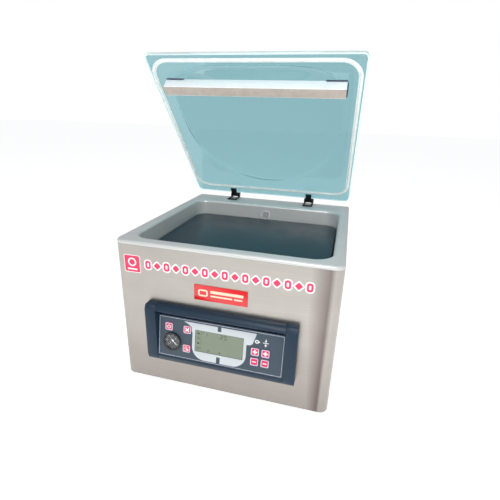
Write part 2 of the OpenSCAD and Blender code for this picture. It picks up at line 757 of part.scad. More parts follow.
// One corner arc of the lid's outline, starting at angle a0 about (cx, cy).
function lid_arc(cx, cy, a0) = [for (k = [0 : corner_steps])
    let (a = a0 + 90 * k / corner_steps) [cx + lid_corner_r * cos(a), cy + lid_corner_r * sin(a)]];
lid_cx = lid_half - lid_corner_r;
lid_cy = [lid_rear_y - lid_corner_r, lid_front_y + lid_corner_r];
lid_corners = [lid_arc(lid_cx, lid_cy[0], 0), lid_arc(-lid_cx, lid_cy[0], 90),
               lid_arc(-lid_cx, lid_cy[1], 180), lid_arc(lid_cx, lid_cy[1], 270)];
function between(a, b) = [for (k = [1 : edge_steps - 1]) a + (b - a) * k / edge_steps];
lid_outline = [for (c = [0 : 3])
    each concat(lid_corners[c], between(lid_corners[c][corner_steps], lid_corners[(c + 1) % 4][0]))];
lid_n = len(lid_outline);

// Where the ray from the dome's widest point towards p leaves the dome's footprint.
function dome_edge(p) =
    let (dx = p[0], dy = p[1] - dome_center_y, d = norm([dx, dy]), ux = dx / d, uy = dy / d,
         power = uy > 0 ? rear_power : front_power, reach = uy > 0 ? dome_rear_len : dome_front_len,
         scale_up = pow(pow(abs(ux) / dome_half, power) + pow(abs(uy) / reach, power), -1 / power))
    [ux * scale_up, uy * scale_up];
dome_edges = [for (p = lid_outline) dome_edge(p)];
function dome_rise(q) = dome_h * pow(1 - pow(q, 2.2), 0.9);
function dome_ring(q, z) = [for (e = dome_edges) [e[0] * q, dome_center_y + e[1] * q, z + dome_rise(q)]];
function skin(z) = concat([for (p = lid_outline) [p[0], p[1], z]], [for (q = rings) each dome_ring(q, z)],
                          [[0, dome_center_y, z + dome_h]]);
skin_n = (len(rings) + 1) * lid_n + 1;
function after(i) = (i + 1) % lid_n;
// Two triangles between ring r's point i and the next ring, facing up or down.
function strip_pair(a, b, up) = up ? [[a, a + lid_n, b + lid_n], [a, b + lid_n, b]]
                                   : [[a, b + lid_n, a + lid_n], [a, b, b + lid_n]];
function strip_faces(base, up) = [for (r = [0 : len(rings) - 1]) each [for (i = [0 : lid_n - 1])
    each strip_pair(base + r * lid_n + i, base + r * lid_n + after(i), up)]];
function crown_faces(base, up) = let (last = base + len(rings) * lid_n, crown = base + skin_n - 1)
    [for (i = [0 : lid_n - 1]) up ? [last + i, crown, last + after(i)] : [last + i, last + after(i), crown]];
edge_faces = [for (i = [0 : lid_n - 1])
    each [[i, after(i), skin_n + after(i)], [i, skin_n + after(i), skin_n + i]]];

module lid_shell()
    color([0.55, 0.78, 0.8, 0.55]) lid_pose() polyhedron(
        points = concat(skin(lid_z + lid_t), skin(lid_z)),
        faces = concat(strip_faces(0, true), crown_faces(0, true), strip_faces(skin_n, false),
                       crown_faces(skin_n, false), edge_faces));

module lid_seal()
    color([0.85, 0.88, 0.86]) lid_pose() translate([0, 0, lid_z])
        rect_sweep(chamber_half + seal_offset, chamber_y0 - seal_offset, chamber_y1 + seal_rear_offset,
                   seal_corner_r, seal_corner_r) seal_profile();

// A flat foot on the lid with a half-round bead that meets the deck.
module seal_profile() {
    bead_r = seal_w * 0.26;
    foot_t = lid_lift - seal_gap - bead_r;
    translate([-seal_w / 2, -foot_t]) square([seal_w, foot_t]);
    translate([0, -foot_t]) intersection() {
        circle(r = bead_r, $fn = arc_n);
        translate([-bead_r, -bead_r]) square([2 * bead_r, bead_r + foot_t / 2]);
    }
}

seat_top_z = silicone_face_z + silicone_seat;

module counter_bar()
    color(white_alu) lid_pose() difference() {
        span([-bar_len / 2, bar_len / 2], about(bar_y, counter_w), [silicone_face_z + 1, lid_z]);
        span([-bar_len / 2 - 1, bar_len / 2 + 1], about(bar_y, silicone_w), [silicone_face_z, seat_top_z]);
    }

module silicone_strip()
    color([0.72, 0.68, 0.62]) lid_pose()
        span([-bar_len / 2, bar_len / 2], about(bar_y, silicone_w), [silicone_face_z, seat_top_z]);

clip_t = 2.5;
clip_d = 18;
side_clip_len = 44;
side_clip_t = 2;
side_clip_h = 3;

// An end clip and a short side clip hold each end of the counter bar.
module bar_clips()
    color([0.12, 0.13, 0.25]) lid_pose() for (side = [-1, 1]) {
        span(about(side * (bar_len + clip_t) / 2, clip_t), about(bar_y, clip_d),
             [silicone_face_z + 4, lid_z]);
        span(about(side * (bar_len - side_clip_len) / 2, side_clip_len),
             about(bar_y - (counter_w + side_clip_t) / 2, side_clip_t), [lid_z - side_clip_h, lid_z]);
    }

// ---- Hinges ----

ear_gap = 0.5;
ear_w = (hinge_base_w - hinge_leaf_w) / 2 - ear_gap;
ear_r = pin_z - 2;
base_plate_t = 3;
leaf_t = 3;
base_front_y = lid_rear_y - leaf_len - 6;
cross_strip_w = 5;
spring_gap = 9.6;
spring_turns = 3;
base_screw_h = 0.5;
base_screw_r = 2;
base_screw_from = [12, 26];
leaf_screw_h = 3;
leaf_screw_r = 3.4;
leaf_screw_x = 4.4;

module hinge_base(side)
    color(black) translate([side * hinge_x, 0, 0]) difference() {
        for (s = [-1, 1]) {
            ear_x = about(s * (hinge_base_w - ear_w) / 2, ear_w);
            span(ear_x, [base_front_y, pin_y], [deck_z, deck_z + base_plate_t]);
            x_rod(ear_x[0], ear_x[1], pin_y, pin_z_abs, ear_r);
            span(ear_x, [pin_y - ear_r, pin_y + pin_from_rear - deck_bend_r], [deck_z, pin_z_abs]);
            span(about(0, hinge_base_w), [base_front_y, base_front_y + cross_strip_w],
                 [deck_z, deck_z + base_plate_t]);
        }
        x_rod(-hinge_base_w, hinge_base_w, pin_y, pin_z_abs, pin_r);
    }

module hinge_leaf(side)
    color(black) lid_pose() translate([side * hinge_x, 0, 0]) difference() {
        union() {
            span(about(0, hinge_leaf_w), [lid_rear_y - leaf_len, pin_y], [lid_z - leaf_t, lid_z]);
            x_rod(-hinge_leaf_w / 2, hinge_leaf_w / 2, pin_y, pin_z_abs, knuckle_r);
            span(about(0, hinge_leaf_w), [lid_rear_y + ear_gap, pin_y - pin_r], [lid_z - eps, pin_z_abs + 2]);
        }
        x_rod(-hinge_leaf_w, hinge_leaf_w, pin_y, pin_z_abs, pin_r + run_fit);
        x_rod(-spring_gap / 2, spring_gap / 2, pin_y, pin_z_abs, knuckle_r + 1.5);
    }

module hinge_pins()
    color(zinc) for (side = [-1, 1]) translate([side * hinge_x, 0, 0])
        x_rod(-hinge_base_w / 2 - 1, hinge_base_w / 2 + 1, pin_y, pin_z_abs, pin_r);

// A close-wound torsion spring on each pin, drawn turn by turn.
module hinge_springs()
    color(zinc) for (side = [-1, 1]) for (k = [0 : spring_turns - 1]) {
        turn_x = side * hinge_x + (2 * k - spring_turns + 1) * spring_wire_r;
        translate([turn_x, pin_y, pin_z_abs]) rotate([0, 90, 0]) rotate_extrude($fn = arc_n)
            translate([pin_r + run_fit + spring_wire_r, 0]) circle(r = spring_wire_r, $fn = 24);
    }

module base_screws()
    color(zinc) for (side = [-1, 1]) for (s = [-1, 1]) for (from = base_screw_from)
        translate([side * hinge_x + s * (hinge_base_w - ear_w) / 2, base_front_y + from,
                   deck_z + base_plate_t]) cylinder(h = base_screw_h, r = base_screw_r, $fn = arc_n);

module leaf_screws()
    color(zinc) lid_pose() for (side = [-1, 1]) for (s = [-1, 1])
        translate([side * hinge_x + s * leaf_screw_x, lid_rear_y - leaf_len * 0.55, lid_z + lid_t])
            cylinder(h = leaf_screw_h, r = leaf_screw_r, $fn = arc_n);

// ---- Inner works, standing on the base plate ----

pump_x0 = -70;
pump_x1 = 50;
pump_y = 30;
pump_depth = 130;
pump_z = base_z + mount_h;
pump_h = 128;
pump_top_z = pump_z + pump_h;
fin_count = 6;
fin_pitch = 18;
fin_t = 4;
fin_proud = 6;
boss_h = 8;
filler_r = 12;
motor_z = pump_z + motor_r + 2;
motor_x1 = pump_x1 + motor_len;
motor_flange_t = 14;
cowl_len = 26;
cowl_wall = 3;
terminal_box = [60, 60, 24];
motor_foot_w = 14;
motor_foot_d = 80;

module pump_block()
    color([0.35, 0.42, 0.5]) {
        span([pump_x0, pump_x1], about(pump_y, pump_depth), [pump_z, pump_top_z]);
        translate([0, pump_y - 30, pump_top_z - eps]) cylinder(h = boss_h, r = filler_r, $fn = arc_n);
        translate([0, pump_y, pump_top_z - eps]) cylinder(h = boss_h, r = hose_r + 4, $fn = arc_n);
        for (k = [0 : fin_count - 1]) {
            fin_x = pump_x0 + 10 + k * fin_pitch;
            fin_y = pump_y - pump_depth / 2;
            span([fin_x, fin_x + fin_t], [fin_y - fin_proud, fin_y + eps], [pump_z + 20, pump_top_z - 12]);
        }
    }

module pump_motor()
    color([0.3, 0.36, 0.44]) difference() {
        union() {
            x_rod(pump_x1, motor_x1, pump_y, motor_z, motor_r - 4);
            x_rod(pump_x1, pump_x1 + motor_flange_t, pump_y, motor_z, motor_r);
            x_rod(motor_x1 - cowl_len - 8, motor_x1, pump_y, motor_z, motor_r);
            for (k = [0 : 11]) rib(k * 30);
            translate([pump_x1 + 30, pump_y - terminal_box[1] / 2, motor_z + motor_r - 10])
                cube(terminal_box);
            for (x = [pump_x1 + 24, motor_x1 - 40])
                span([x, x + motor_foot_w], about(pump_y, motor_foot_d), [pump_z, motor_z - motor_r / 2]);
        }
        x_rod(pump_x1 - 1, motor_x1 + 1, pump_y, motor_z, shaft_r + run_fit);
        x_rod(motor_x1 - cowl_len, motor_x1 + 1, pump_y, motor_z, motor_r - cowl_wall);
    }

// One cooling rib of the motor, at angle a about its shaft.
module rib(a)
    translate([pump_x1 + 10, pump_y, motor_z]) rotate([a, 0, 0])
        translate([0, -1.5, motor_r - 6]) cube([motor_len - cowl_len - 14, 3, 5]);

blade_count = 8;
blade_t = 2.4;
cooler_r = motor_r - cowl_wall - 8;

module pump_rotor()
    color([0.2, 0.2, 0.22]) {
        x_rod(pump_x1 + 1, motor_x1 - 4, pump_y, motor_z, shaft_r);
        x_rod(motor_x1 - cowl_len + 2, motor_x1 - cowl_len + 5, pump_y, motor_z, cooler_r);
        x_rod(motor_x1 - cowl_len + 2, motor_x1 - 6, pump_y, motor_z, shaft_r + 6);
        for (k = [0 : blade_count - 1])
            translate([motor_x1 - cowl_len + 5 - eps, pump_y, motor_z]) rotate([k * 360 / blade_count, 0, 0])
                translate([0, -blade_t / 2, shaft_r + 4]) cube([12, blade_t, cooler_r - shaft_r - 6]);
    }

pump_mount_r = 10;
motor_mount_r = 8;
mount_inset = 14;

module pump_mounts()
    color(black) for (s = [-1, 1]) {
        for (x = [pump_x0 + mount_inset, pump_x1 - mount_inset])
            translate([x, pump_y + s * (pump_depth / 2 - mount_inset), base_z])
                cylinder(h = mount_h, r = pump_mount_r, $fn = arc_n);
        translate([motor_x1 - 33, pump_y + s * 28, base_z])
            cylinder(h = mount_h, r = motor_mount_r, $fn = arc_n);
    }

filter_r = 30;
filter_h = 150;
filter_x = -30;
filter_gap = 6;
filter_neck_r = 12;
filter_y = pump_y + pump_depth / 2 + filter_r + filter_gap;

module exhaust_filter()
    color([0.55, 0.57, 0.58]) {
        translate([filter_x, filter_y, base_z]) cylinder(h = filter_h, r = filter_r, $fn = arc_n);
        translate([filter_x, filter_y, base_z + filter_h - eps])
            cylinder(h = 10, r = filter_neck_r, $fn = arc_n);
        y_rod(filter_x, base_z + 100, filter_y - filter_r - filter_gap, filter_y - filter_r + 4,
              filter_neck_r);
    }

valve_y0 = chamber_y1 + deck_t;
valve_w = 56;
valve_d = 40;
valve_h = 44;
valve_z0 = deck_z - grille_drop - valve_h / 2;
coil_len = 40;
coil_r = 14;
stub_h = 10;
hose_y = valve_y0 + valve_d / 2;
hose_top_z = valve_z0 - stub_h;
hose_foot_z = pump_top_z + boss_h - eps;
hose_level_z = hose_foot_z + hose_bend_r + 2;

module valve_block()
    color([0.45, 0.47, 0.5]) difference() {
        union() {
            span(about(0, valve_w), [valve_y0, valve_y0 + valve_d], [valve_z0, valve_z0 + valve_h]);
            translate([0, hose_y, hose_top_z]) cylinder(h = stub_h + eps, r = hose_r + 3, $fn = arc_n);
            x_rod(-valve_w / 2 - coil_len, valve_w / 2 + coil_len, hose_y, deck_z - grille_drop, coil_r);
        }
        y_rod(0, deck_z - grille_drop, valve_y0 - 1, valve_y0 + 12, port_r);
    }

// The hose drops from the valve block, runs forward over the pump and drops into its inlet.
hose_step = 0.2;

module vacuum_hose()
    color(black) {
        translate([0, hose_y, hose_level_z + hose_bend_r])
            cylinder(h = hose_top_z - hose_level_z - hose_bend_r, r = hose_r, $fn = arc_n);
        translate([0, hose_y - hose_bend_r, hose_level_z + hose_bend_r]) rotate([0, 90, 0]) hose_bend();
        y_rod(0, hose_level_z, pump_y + hose_bend_r, hose_y - hose_bend_r, hose_r);
        translate([0, pump_y + hose_bend_r, hose_level_z - hose_bend_r])
            rotate([180, 0, 0]) rotate([0, 90, 0]) hose_bend();
        translate([0, pump_y, hose_foot_z])
            cylinder(h = hose_level_z - hose_bend_r - hose_foot_z, r = hose_r, $fn = arc_n);
    }

// A quarter turn of the hose, a little slimmer than the straight pieces and let into them.
module hose_bend()
    rotate([0, 0, -1]) rotate_extrude(angle = 92, $fn = arc_n)
        translate([hose_bend_r, 0]) circle(r = hose_r - hose_step, $fn = 32);

module seal_transformer()
    color([0.25, 0.25, 0.27]) {
        span([-215, -125], [60, 150], [base_z, base_z + 70]);
        span([-195, -145], [45, 165], [base_z + 12, base_z + 58]);
        for (x = [-208, -140]) span([x, x + 8], [44, 60 + eps], [base_z, base_z + 3]);
    }

fan_hub_r = 18;
fan_axle_r = 2;
fan_wall = 3;
fan_blades = 7;
fan_blade = [2, 18];
strut = [3, 5];
fan_y1 = inner_rear_y;
fan_y0 = fan_y1 - fan_t;
hub_y0 = fan_y0 + 7;
hub_y1 = fan_y1 - 3;

module fan_frame()
    color(black) difference() {
        union() {
            difference() {
                span(about(fan_x, fan_s), [fan_y0, fan_y1], about(fan_z, fan_s));
                y_rod(fan_x, fan_z, fan_y0 - 1, fan_y1 + 1, fan_s / 2 - fan_wall);
            }
            for (a = [0, 60, 120]) translate([fan_x, fan_y0 + strut[0] / 2, fan_z]) rotate([0, a, 0])
                cube([fan_s - 4, strut[0], strut[1]], center = true);
            y_rod(fan_x, fan_z, fan_y0, fan_y0 + 6, fan_hub_r);
        }
        y_rod(fan_x, fan_z, fan_y0 - 1, fan_y0 + 8, fan_axle_r + run_fit);
    }

module fan_rotor()
    color([0.15, 0.15, 0.16]) {
        blade_len = fan_s / 2 - 2 * fan_wall - 1 - fan_hub_r + 2;
        y_rod(fan_x, fan_z, fan_y0 + 1, fan_y0 + 10, fan_axle_r);
        y_rod(fan_x, fan_z, hub_y0, hub_y1, fan_hub_r);
        for (k = [0 : fan_blades - 1])
            translate([fan_x, (hub_y0 + hub_y1) / 2, fan_z]) rotate([0, k * 360 / fan_blades, 0])
                translate([fan_hub_r - 2, 0, 0]) rotate([30, 0, 0])
                    translate([0, -fan_blade[0] / 2, -fan_blade[1] / 2])
                        cube([blade_len, fan_blade[0], fan_blade[1]]);
    }

inlet_gap = 0.2;
inlet_flange = 2.5;
inlet_depth = 26;
socket = [22, 18, 22];

module power_inlet()
    color(black) difference() {
        union() {
            span(about(inlet_x, inlet_w - 2 * inlet_gap), [rear_y - inlet_depth, rear_y + eps],
                 about(inlet_z, inlet_h - 2 * inlet_gap));
            span(about(inlet_x, inlet_w + 2 * inlet_flange), [rear_y, rear_y + screw_head_h],
                 about(inlet_z, inlet_h + 2 * inlet_flange));
        }
        span(about(inlet_x, socket[0]), [rear_y - socket[1], rear_y + 5], about(inlet_z - 6, socket[2]));
    }

switch_size = [12, 28, 16];
switch_x = 150;

module lid_switch()
    color([0.2, 0.2, 0.22]) translate([switch_x, chamber_y1 + 22, deck_z - deck_t - switch_size[2]])
        cube(switch_size);

rear_screw_r = 4;
rear_screw_inset = 12;

module panel_screws()
    color(zinc) for (row = [0 : 2]) for (col = [-1 : 1]) if (row != 1 || col != 0) {
        low_z = foot_h + rear_screw_inset;
        high_z = housing_top_z - rear_screw_inset;
        y_rod(col * (half_w - rear_screw_inset), low_z + (high_z - low_z) * row / 2, rear_y,
              rear_y + screw_head_h, rear_screw_r);
    }

place() housing_wrap();
place() deck_chamber();
place() rear_panel();
place() base_plate();
place() feet();
place() bezel_frame();
place() bezel_cap(-1);  // bezel_cap_left
place() bezel_cap(1);  // bezel_cap_right
place() control_plate();
place() display_surround();
place() display_module();
place() push_button(0);  // power_button
place() push_button(1);  // stop_button
place() push_button(2);  // program_button
place() push_button(3);  // vacuum_plus_button
place() push_button(4);  // seal_plus_button
place() push_button(5);  // vacuum_minus_button
place() push_button(6);  // seal_minus_button
place() gauge_case();
place() gauge_dial();
place() gauge_needle();
place() gauge_lens();
place() control_board();
place() badge_plate();
place() front_decals();
place() insert_plate(0);  // plate_lower
place() insert_plate(1);  // plate_middle
place() insert_plate(2);  // plate_upper
place() seal_bar();
place() seal_wires();
place() seal_cover_tape();
place() lift_rods();
place() lift_cylinders();
place() suction_grille();
place() lid_shell();
place() lid_seal();
place() counter_bar();
place() silicone_strip();
place() bar_clips();
place() hinge_base(-1);  // hinge_base_left
place() hinge_base(1);  // hinge_base_right
place() hinge_leaf(-1);  // hinge_leaf_left
place() hinge_leaf(1);  // hinge_leaf_right
place() hinge_pins();
place() hinge_springs();
place() base_screws();
place() leaf_screws();
place() pump_block();
place() pump_motor();
place() pump_rotor();
place() pump_mounts();
place() exhaust_filter();
place() vacuum_hose();
place() valve_block();
place() seal_transformer();
place() fan_frame();
place() fan_rotor();
place() power_inlet();
place() lid_switch();
place() panel_screws();
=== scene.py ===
import json
import math
import bpy
from mathutils import Matrix, Vector


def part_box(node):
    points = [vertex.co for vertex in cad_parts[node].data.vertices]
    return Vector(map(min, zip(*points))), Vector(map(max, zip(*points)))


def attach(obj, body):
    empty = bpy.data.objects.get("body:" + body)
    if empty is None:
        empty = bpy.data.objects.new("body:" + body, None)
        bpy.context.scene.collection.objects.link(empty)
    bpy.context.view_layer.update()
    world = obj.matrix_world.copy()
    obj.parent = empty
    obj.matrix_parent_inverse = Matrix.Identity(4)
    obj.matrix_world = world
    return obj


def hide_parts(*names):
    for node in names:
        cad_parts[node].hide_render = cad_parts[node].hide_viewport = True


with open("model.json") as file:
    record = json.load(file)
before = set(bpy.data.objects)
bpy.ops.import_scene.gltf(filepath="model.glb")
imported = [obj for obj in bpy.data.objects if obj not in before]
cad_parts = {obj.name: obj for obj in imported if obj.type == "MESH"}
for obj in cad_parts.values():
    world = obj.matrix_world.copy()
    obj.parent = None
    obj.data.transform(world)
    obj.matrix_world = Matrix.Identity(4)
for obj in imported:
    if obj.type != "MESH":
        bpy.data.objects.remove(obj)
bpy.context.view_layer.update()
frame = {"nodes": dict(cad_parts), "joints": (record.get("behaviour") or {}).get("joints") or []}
NODES = frame["nodes"]
JOINTS = {joint["name"]: joint for joint in frame["joints"]}
MM = 0.001
scene = bpy.context.scene


# ---- Places taken from the frame ----

def transformed_box(name, to_local):
    """Lowest and highest corner of a CAD node in another frame."""
    points = [to_local @ vertex.co for vertex in NODES[name].data.vertices]
    low = Vector([min(p[i] for p in points) for i in range(3)])
    high = Vector([max(p[i] for p in points) for i in range(3)])
    return low, high


def frame_matrix(origin, right, up, out):
    """A matrix whose X runs right, whose Y runs up and whose Z stands out of a surface."""
    columns = Matrix((right, up, out)).transposed()
    return Matrix.Translation(origin) @ columns.to_4x4()


BODY_LOW, BODY_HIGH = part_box("housing_wrap")
DECK_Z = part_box("deck_chamber")[1].z
FRONT_Y = BODY_LOW.y
REAR_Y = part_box("rear_panel")[1].y

# Drawing planes. On the front and the back, heights count down from the deck's top. The panel's
# plane lies on the tilted control plate, from the middle of its upper edge.
FRONT = frame_matrix((0, FRONT_Y, DECK_Z), (1, 0, 0), (0, 0, 1), (0, -1, 0))
REAR = frame_matrix((0, REAR_Y, DECK_Z), (-1, 0, 0), (0, 0, 1), (0, 1, 0))

INWARD = Vector(JOINTS["power_button_press"]["axis"])
TILT = math.asin(-INWARD.z)
PANEL_UP = Vector((0, math.sin(TILT), math.cos(TILT)))
TILTED = frame_matrix((0, 0, 0), (1, 0, 0), PANEL_UP, -INWARD)
PLATE_HIGH = transformed_box("control_plate", TILTED.inverted())[1]
PANEL = frame_matrix(TILTED @ Vector((0, PLATE_HIGH.y, PLATE_HIGH.z)), (1, 0, 0), PANEL_UP, -INWARD)
TO_PANEL = PANEL.inverted()

# The lid's own frame, in which it lies shut. The row is drawn with the lid open about its hinge pin.
HINGE = JOINTS["lid_hinge"]
PIN = Vector(HINGE["pos_m"])
OPEN_ANGLE = math.radians(HINGE["range_deg"][1])
LID = Matrix.Translation(PIN) @ Matrix.Rotation(-OPEN_ANGLE, 4, "X") @ Matrix.Translation(-PIN)
TO_LID = LID.inverted()


# ---- Node helpers ----

NOISE_ROUGHNESS = 0.6
ACRYLIC_IOR = 1.49
POLISHED = 0.00001  # relief of a polished surface, in metres


def srgb(red, green, blue):
    """A colour given as eight-bit sRGB, in Blender's linear values."""
    def linear(c):
        c /= 255
        return c / 12.92 if c <= 0.04045 else ((c + 0.055) / 1.055) ** 2.4
    return (linear(red), linear(green), linear(blue), 1.0)


def scaled(colour, k):
    return tuple(min(1.0, c * k) for c in colour[:3]) + (1.0,)


class Nodes:
    """Short ways to add nodes to a tree and to feed their sockets."""

    def __init__(self, tree):
        self.tree = tree

    def feed(self, socket, value):
        """Links another node's socket to this one, or sets this one's value."""
        if isinstance(value, bpy.types.NodeSocket):
            self.tree.links.new(value, socket)
        else:
            socket.default_value = value

    def node(self, kind, inputs=None, **properties):
        made = self.tree.nodes.new(kind)
        for key, value in properties.items():
            setattr(made, key, value)
        for key, value in (inputs or {}).items():
            self.feed(made.inputs[key], value)
        return made

    def math(self, operation, a, b=0.0):
        return self.node("ShaderNodeMath", {0: a, 1: b}, operation=operation).outputs[0]


class Look(Nodes):
    """A Principled material."""

    def __init__(self, name, colour, roughness, metallic=0.0, **constants):
        self.material = bpy.data.materials.new(name)
        self.material.use_nodes = True
        super().__init__(self.material.node_tree)
        self.shader = self.tree.nodes["Principled BSDF"]
        self.material.diffuse_color = colour
        self.set("Base Color", colour)
        self.set("Roughness", roughness)
        self.set("Metallic", metallic)
        for key, value in constants.items():
            self.set(key.replace("_", " "), value)

    def set(self, socket, value):
        self.feed(self.shader.inputs[socket], value)

    def place(self, scale=(1, 1, 1)):
        """Coordinates along the object's axes, in metres, times a scale."""
        coordinates = self.node("ShaderNodeTexCoord").outputs["Object"]
        return self.node("ShaderNodeMapping", {"Vector": coordinates, "Scale": scale}).outputs[0]

    def noise(self, scale, detail=4.0, stretch=(1, 1, 1)):
        made = self.node("ShaderNodeTexNoise", {
            "Vector": self.place(stretch), "Scale": scale, "Detail": detail, "Roughness": NOISE_ROUGHNESS})
        return made.outputs[0]

    def ranged(self, value, low, high, from_low=0.3, from_high=0.7):
        """Takes from_low to low and from_high to high; noise lies mostly between 0.3 and 0.7."""
        made = self.node("ShaderNodeMapRange", {
            "Value": value, "From Min": from_low, "From Max": from_high, "To Min": low, "To Max": high})
        return made.outputs[0]

    def mixed(self, factor, a, b):
        made = self.node("ShaderNodeMix", {0: factor, 6: a, 7: b}, data_type="RGBA")
        return made.outputs[2]

    def bump(self, height, distance, strength):
        """Relief of the given distance, in metres, from a height between 0 and 1."""
        inputs = {"Height": height, "Distance": distance, "Strength": strength}
        self.set("Normal", self.node("ShaderNodeBump", inputs).outputs[0])

    def edge(self, radius, from_low=0.02, from_high=0.22):
        """1 along sharp edges and 0 away from them."""
        soft = self.node("ShaderNodeBevel", {"Radius": radius}, samples=4).outputs[0]
        plain = self.node("ShaderNodeNewGeometry").outputs["Normal"]
        product = self.node("ShaderNodeVectorMath", {0: soft, 1: plain}, operation="DOT_PRODUCT")
        bend = self.math("SUBTRACT", 1.0, product.outputs["Value"])
        return self.ranged(bend, 0.0, 1.0, from_low, from_high)


def tinted(colour, spread):
    """The darker and the lighter neighbour of a colour."""
    return scaled(colour, 1 - spread), scaled(colour, 1 + spread)


# Where the brushed front takes painted reflection and painted shade, in metres: across it, behind its plane,
# and up from the floor.
SHADE_FROM, SHADE_TO = 0.75 * BODY_HIGH.x, 0.9 * BODY_HIGH.x
SHADE_END = SHADE_TO + 0.009
SHADE_DEPTH, SHADE_OUT = FRONT_Y + 0.008, FRONT_Y + 0.02
SHADE_LOW, SHADE_HIGH = 0.06, DECK_Z
FOOT_FROM, FOOT_TO = 0.02, 0.24


def painted_reflection_and_shade(look):
    """How much painted tint the brushed steel takes: painted reflection, most at the right end of the flat
    front, and painted shade at its foot.
    """
    x, y, z = look.node("ShaderNodeSeparateXYZ", {0: look.place()}).outputs
    rising = look.ranged(x, 0.0, 1.0, SHADE_FROM, SHADE_TO)
    falling = look.ranged(x, 1.0, 0.0, SHADE_TO, SHADE_END)
    front_only = look.ranged(y, 1.0, 0.0, SHADE_DEPTH, SHADE_OUT)
    low_down = look.ranged(z, 0.98, 0.7, SHADE_LOW, SHADE_HIGH)
    right_end = look.math("MULTIPLY", look.math("MULTIPLY", rising, falling), low_down)
    foot = look.ranged(z, 0.4, 0.0, FOOT_FROM, FOOT_TO)
    return look.math("MULTIPLY", front_only, look.math("MAXIMUM", right_end, foot))


SIDEWAYS = 0.7  # a surface whose normal has more than this along X counts as facing X


def brushed(name, colour, roughness, spread=0.07, grain=650.0, stretch=5.0, painted_tint=None, metallic=1.0):
    """Brushed metal: the grain runs along X, and along Y on surfaces that face X. If there is a painted
    tint, the flat front takes it as a painted reflection at its right end and painted shade at its foot."""
    look = Look(name, colour, roughness, metallic)
    along_x = look.noise(1.0, detail=3.0, stretch=(stretch, grain, grain))
    along_y = look.noise(1.0, detail=3.0, stretch=(grain, stretch, grain))
    normal = look.node("ShaderNodeNewGeometry").outputs["True Normal"]
    facing = look.node("ShaderNodeSeparateXYZ", {0: normal}).outputs[0]
    side = look.math("GREATER_THAN", look.math("ABSOLUTE", facing), SIDEWAYS)
    lines = look.node("ShaderNodeMix", {0: side, 2: along_x, 3: along_y}, data_type="FLOAT").outputs[0]
    smears = look.noise(9.0, detail=5.0, stretch=(1, 1, 1.6))
    dark, light = tinted(colour, spread)
    streaked = look.mixed(look.ranged(lines, 0.0, 1.0), dark, light)
    shade = look.mixed(look.ranged(smears, 0.0, 0.5), streaked, scaled(colour, 0.9))
    # The painted tint: a painted reflection at the flat front's right end and painted shade at its foot.
    if painted_tint:
        shade = look.mixed(painted_reflection_and_shade(look), shade, painted_tint)
    look.set("Base Color", shade)
    rough = look.math("ADD", look.ranged(lines, roughness - 0.05, roughness + 0.06),
                      look.ranged(smears, -0.03, 0.07))
    look.set("Roughness", rough)
    look.bump(lines, 0.00002, strength=0.5)
    return look.material


def moulded(name, colour, roughness, grain, bump=0.00003, wear=None, coat=0.0, spread=0.06, **more):
    """Moulded plastic or paint: a fine grain, faint blotches and, where wear gives a radius and a colour,
    paler worn edges."""
    look = Look(name, colour, roughness, Coat_Weight=coat, **more)
    fine = look.noise(grain, detail=2.0)
    blotches = look.noise(22.0, detail=5.0)
    dark, light = tinted(colour, spread)
    shade = look.mixed(look.ranged(blotches, 0.0, 1.0), dark, light)
    if wear:
        radius, worn = wear
        patch = look.math("MULTIPLY", look.edge(radius), look.ranged(look.noise(140.0), 0.1, 0.75))
        shade = look.mixed(patch, shade, worn)
    look.set("Base Color", shade)
    look.set("Roughness", look.math("ADD", look.ranged(blotches, roughness - 0.04, roughness + 0.05),
                                    look.ranged(fine, -0.03, 0.03)))
    look.bump(fine, bump, strength=0.6)
    return look.material


def rubbery(name, colour, roughness=0.75, sheen=0.25, **more):
    """Rubber with a dusty bloom."""
    look = Look(name, colour, roughness, Sheen_Weight=sheen, Sheen_Roughness=0.6, **more)
    dust = look.noise(60.0, detail=6.0)
    dark, light = tinted(colour, 0.12)
    look.set("Base Color", look.mixed(look.ranged(dust, 0.0, 1.0), dark, light))
    look.set("Roughness", look.ranged(dust, roughness - 0.08, roughness + 0.1))
    look.bump(look.noise(1800.0, detail=3.0), 0.00005, strength=0.7)
    return look.material


def plated(name, colour, roughness):
    """Bright plated or turned metal with a few darker, rougher spots."""
    look = Look(name, colour, roughness, 1.0)
    spots = look.noise(180.0, detail=5.0)
    dark, light = tinted(colour, 0.08)
    look.set("Base Color", look.mixed(look.ranged(spots, 0.0, 1.0), dark, light))
    look.set("Roughness", look.ranged(spots, roughness - 0.07, roughness + 0.14))
    look.bump(look.noise(2400.0, detail=2.0), POLISHED, strength=0.5)
    return look.material


def cast(name, colour, roughness, metallic=0.0):
    """Painted casting: orange peel over a rough skin."""
    look = Look(name, colour, roughness, metallic)
    skin = look.noise(700.0)
    grime = look.noise(14.0, detail=6.0)
    dark, light = tinted(colour, 0.16)
    look.set("Base Color", look.mixed(look.ranged(grime, 0.0, 1.0), dark, light))
    look.set("Roughness", look.ranged(grime, roughness - 0.1, roughness + 0.15))
    look.bump(skin, 0.0002, strength=0.6)
    return look.material


def printed(name, colour, roughness, coat=0.2):
    """Printed film or ink: nearly plain, with a faint dot grain under a thin clear layer."""
    look = Look(name, colour, roughness, Coat_Weight=coat, Coat_Roughness=0.15)
    dots = look.noise(900.0, detail=2.0)
    dark, light = tinted(colour, 0.04)
    look.set("Base Color", look.mixed(look.ranged(dots, 0.0, 1.0), dark, light))
    look.set("Roughness", look.ranged(look.noise(40.0), roughness - 0.05, roughness + 0.07))
    look.bump(dots, 0.000008, strength=0.5)
    return look.material


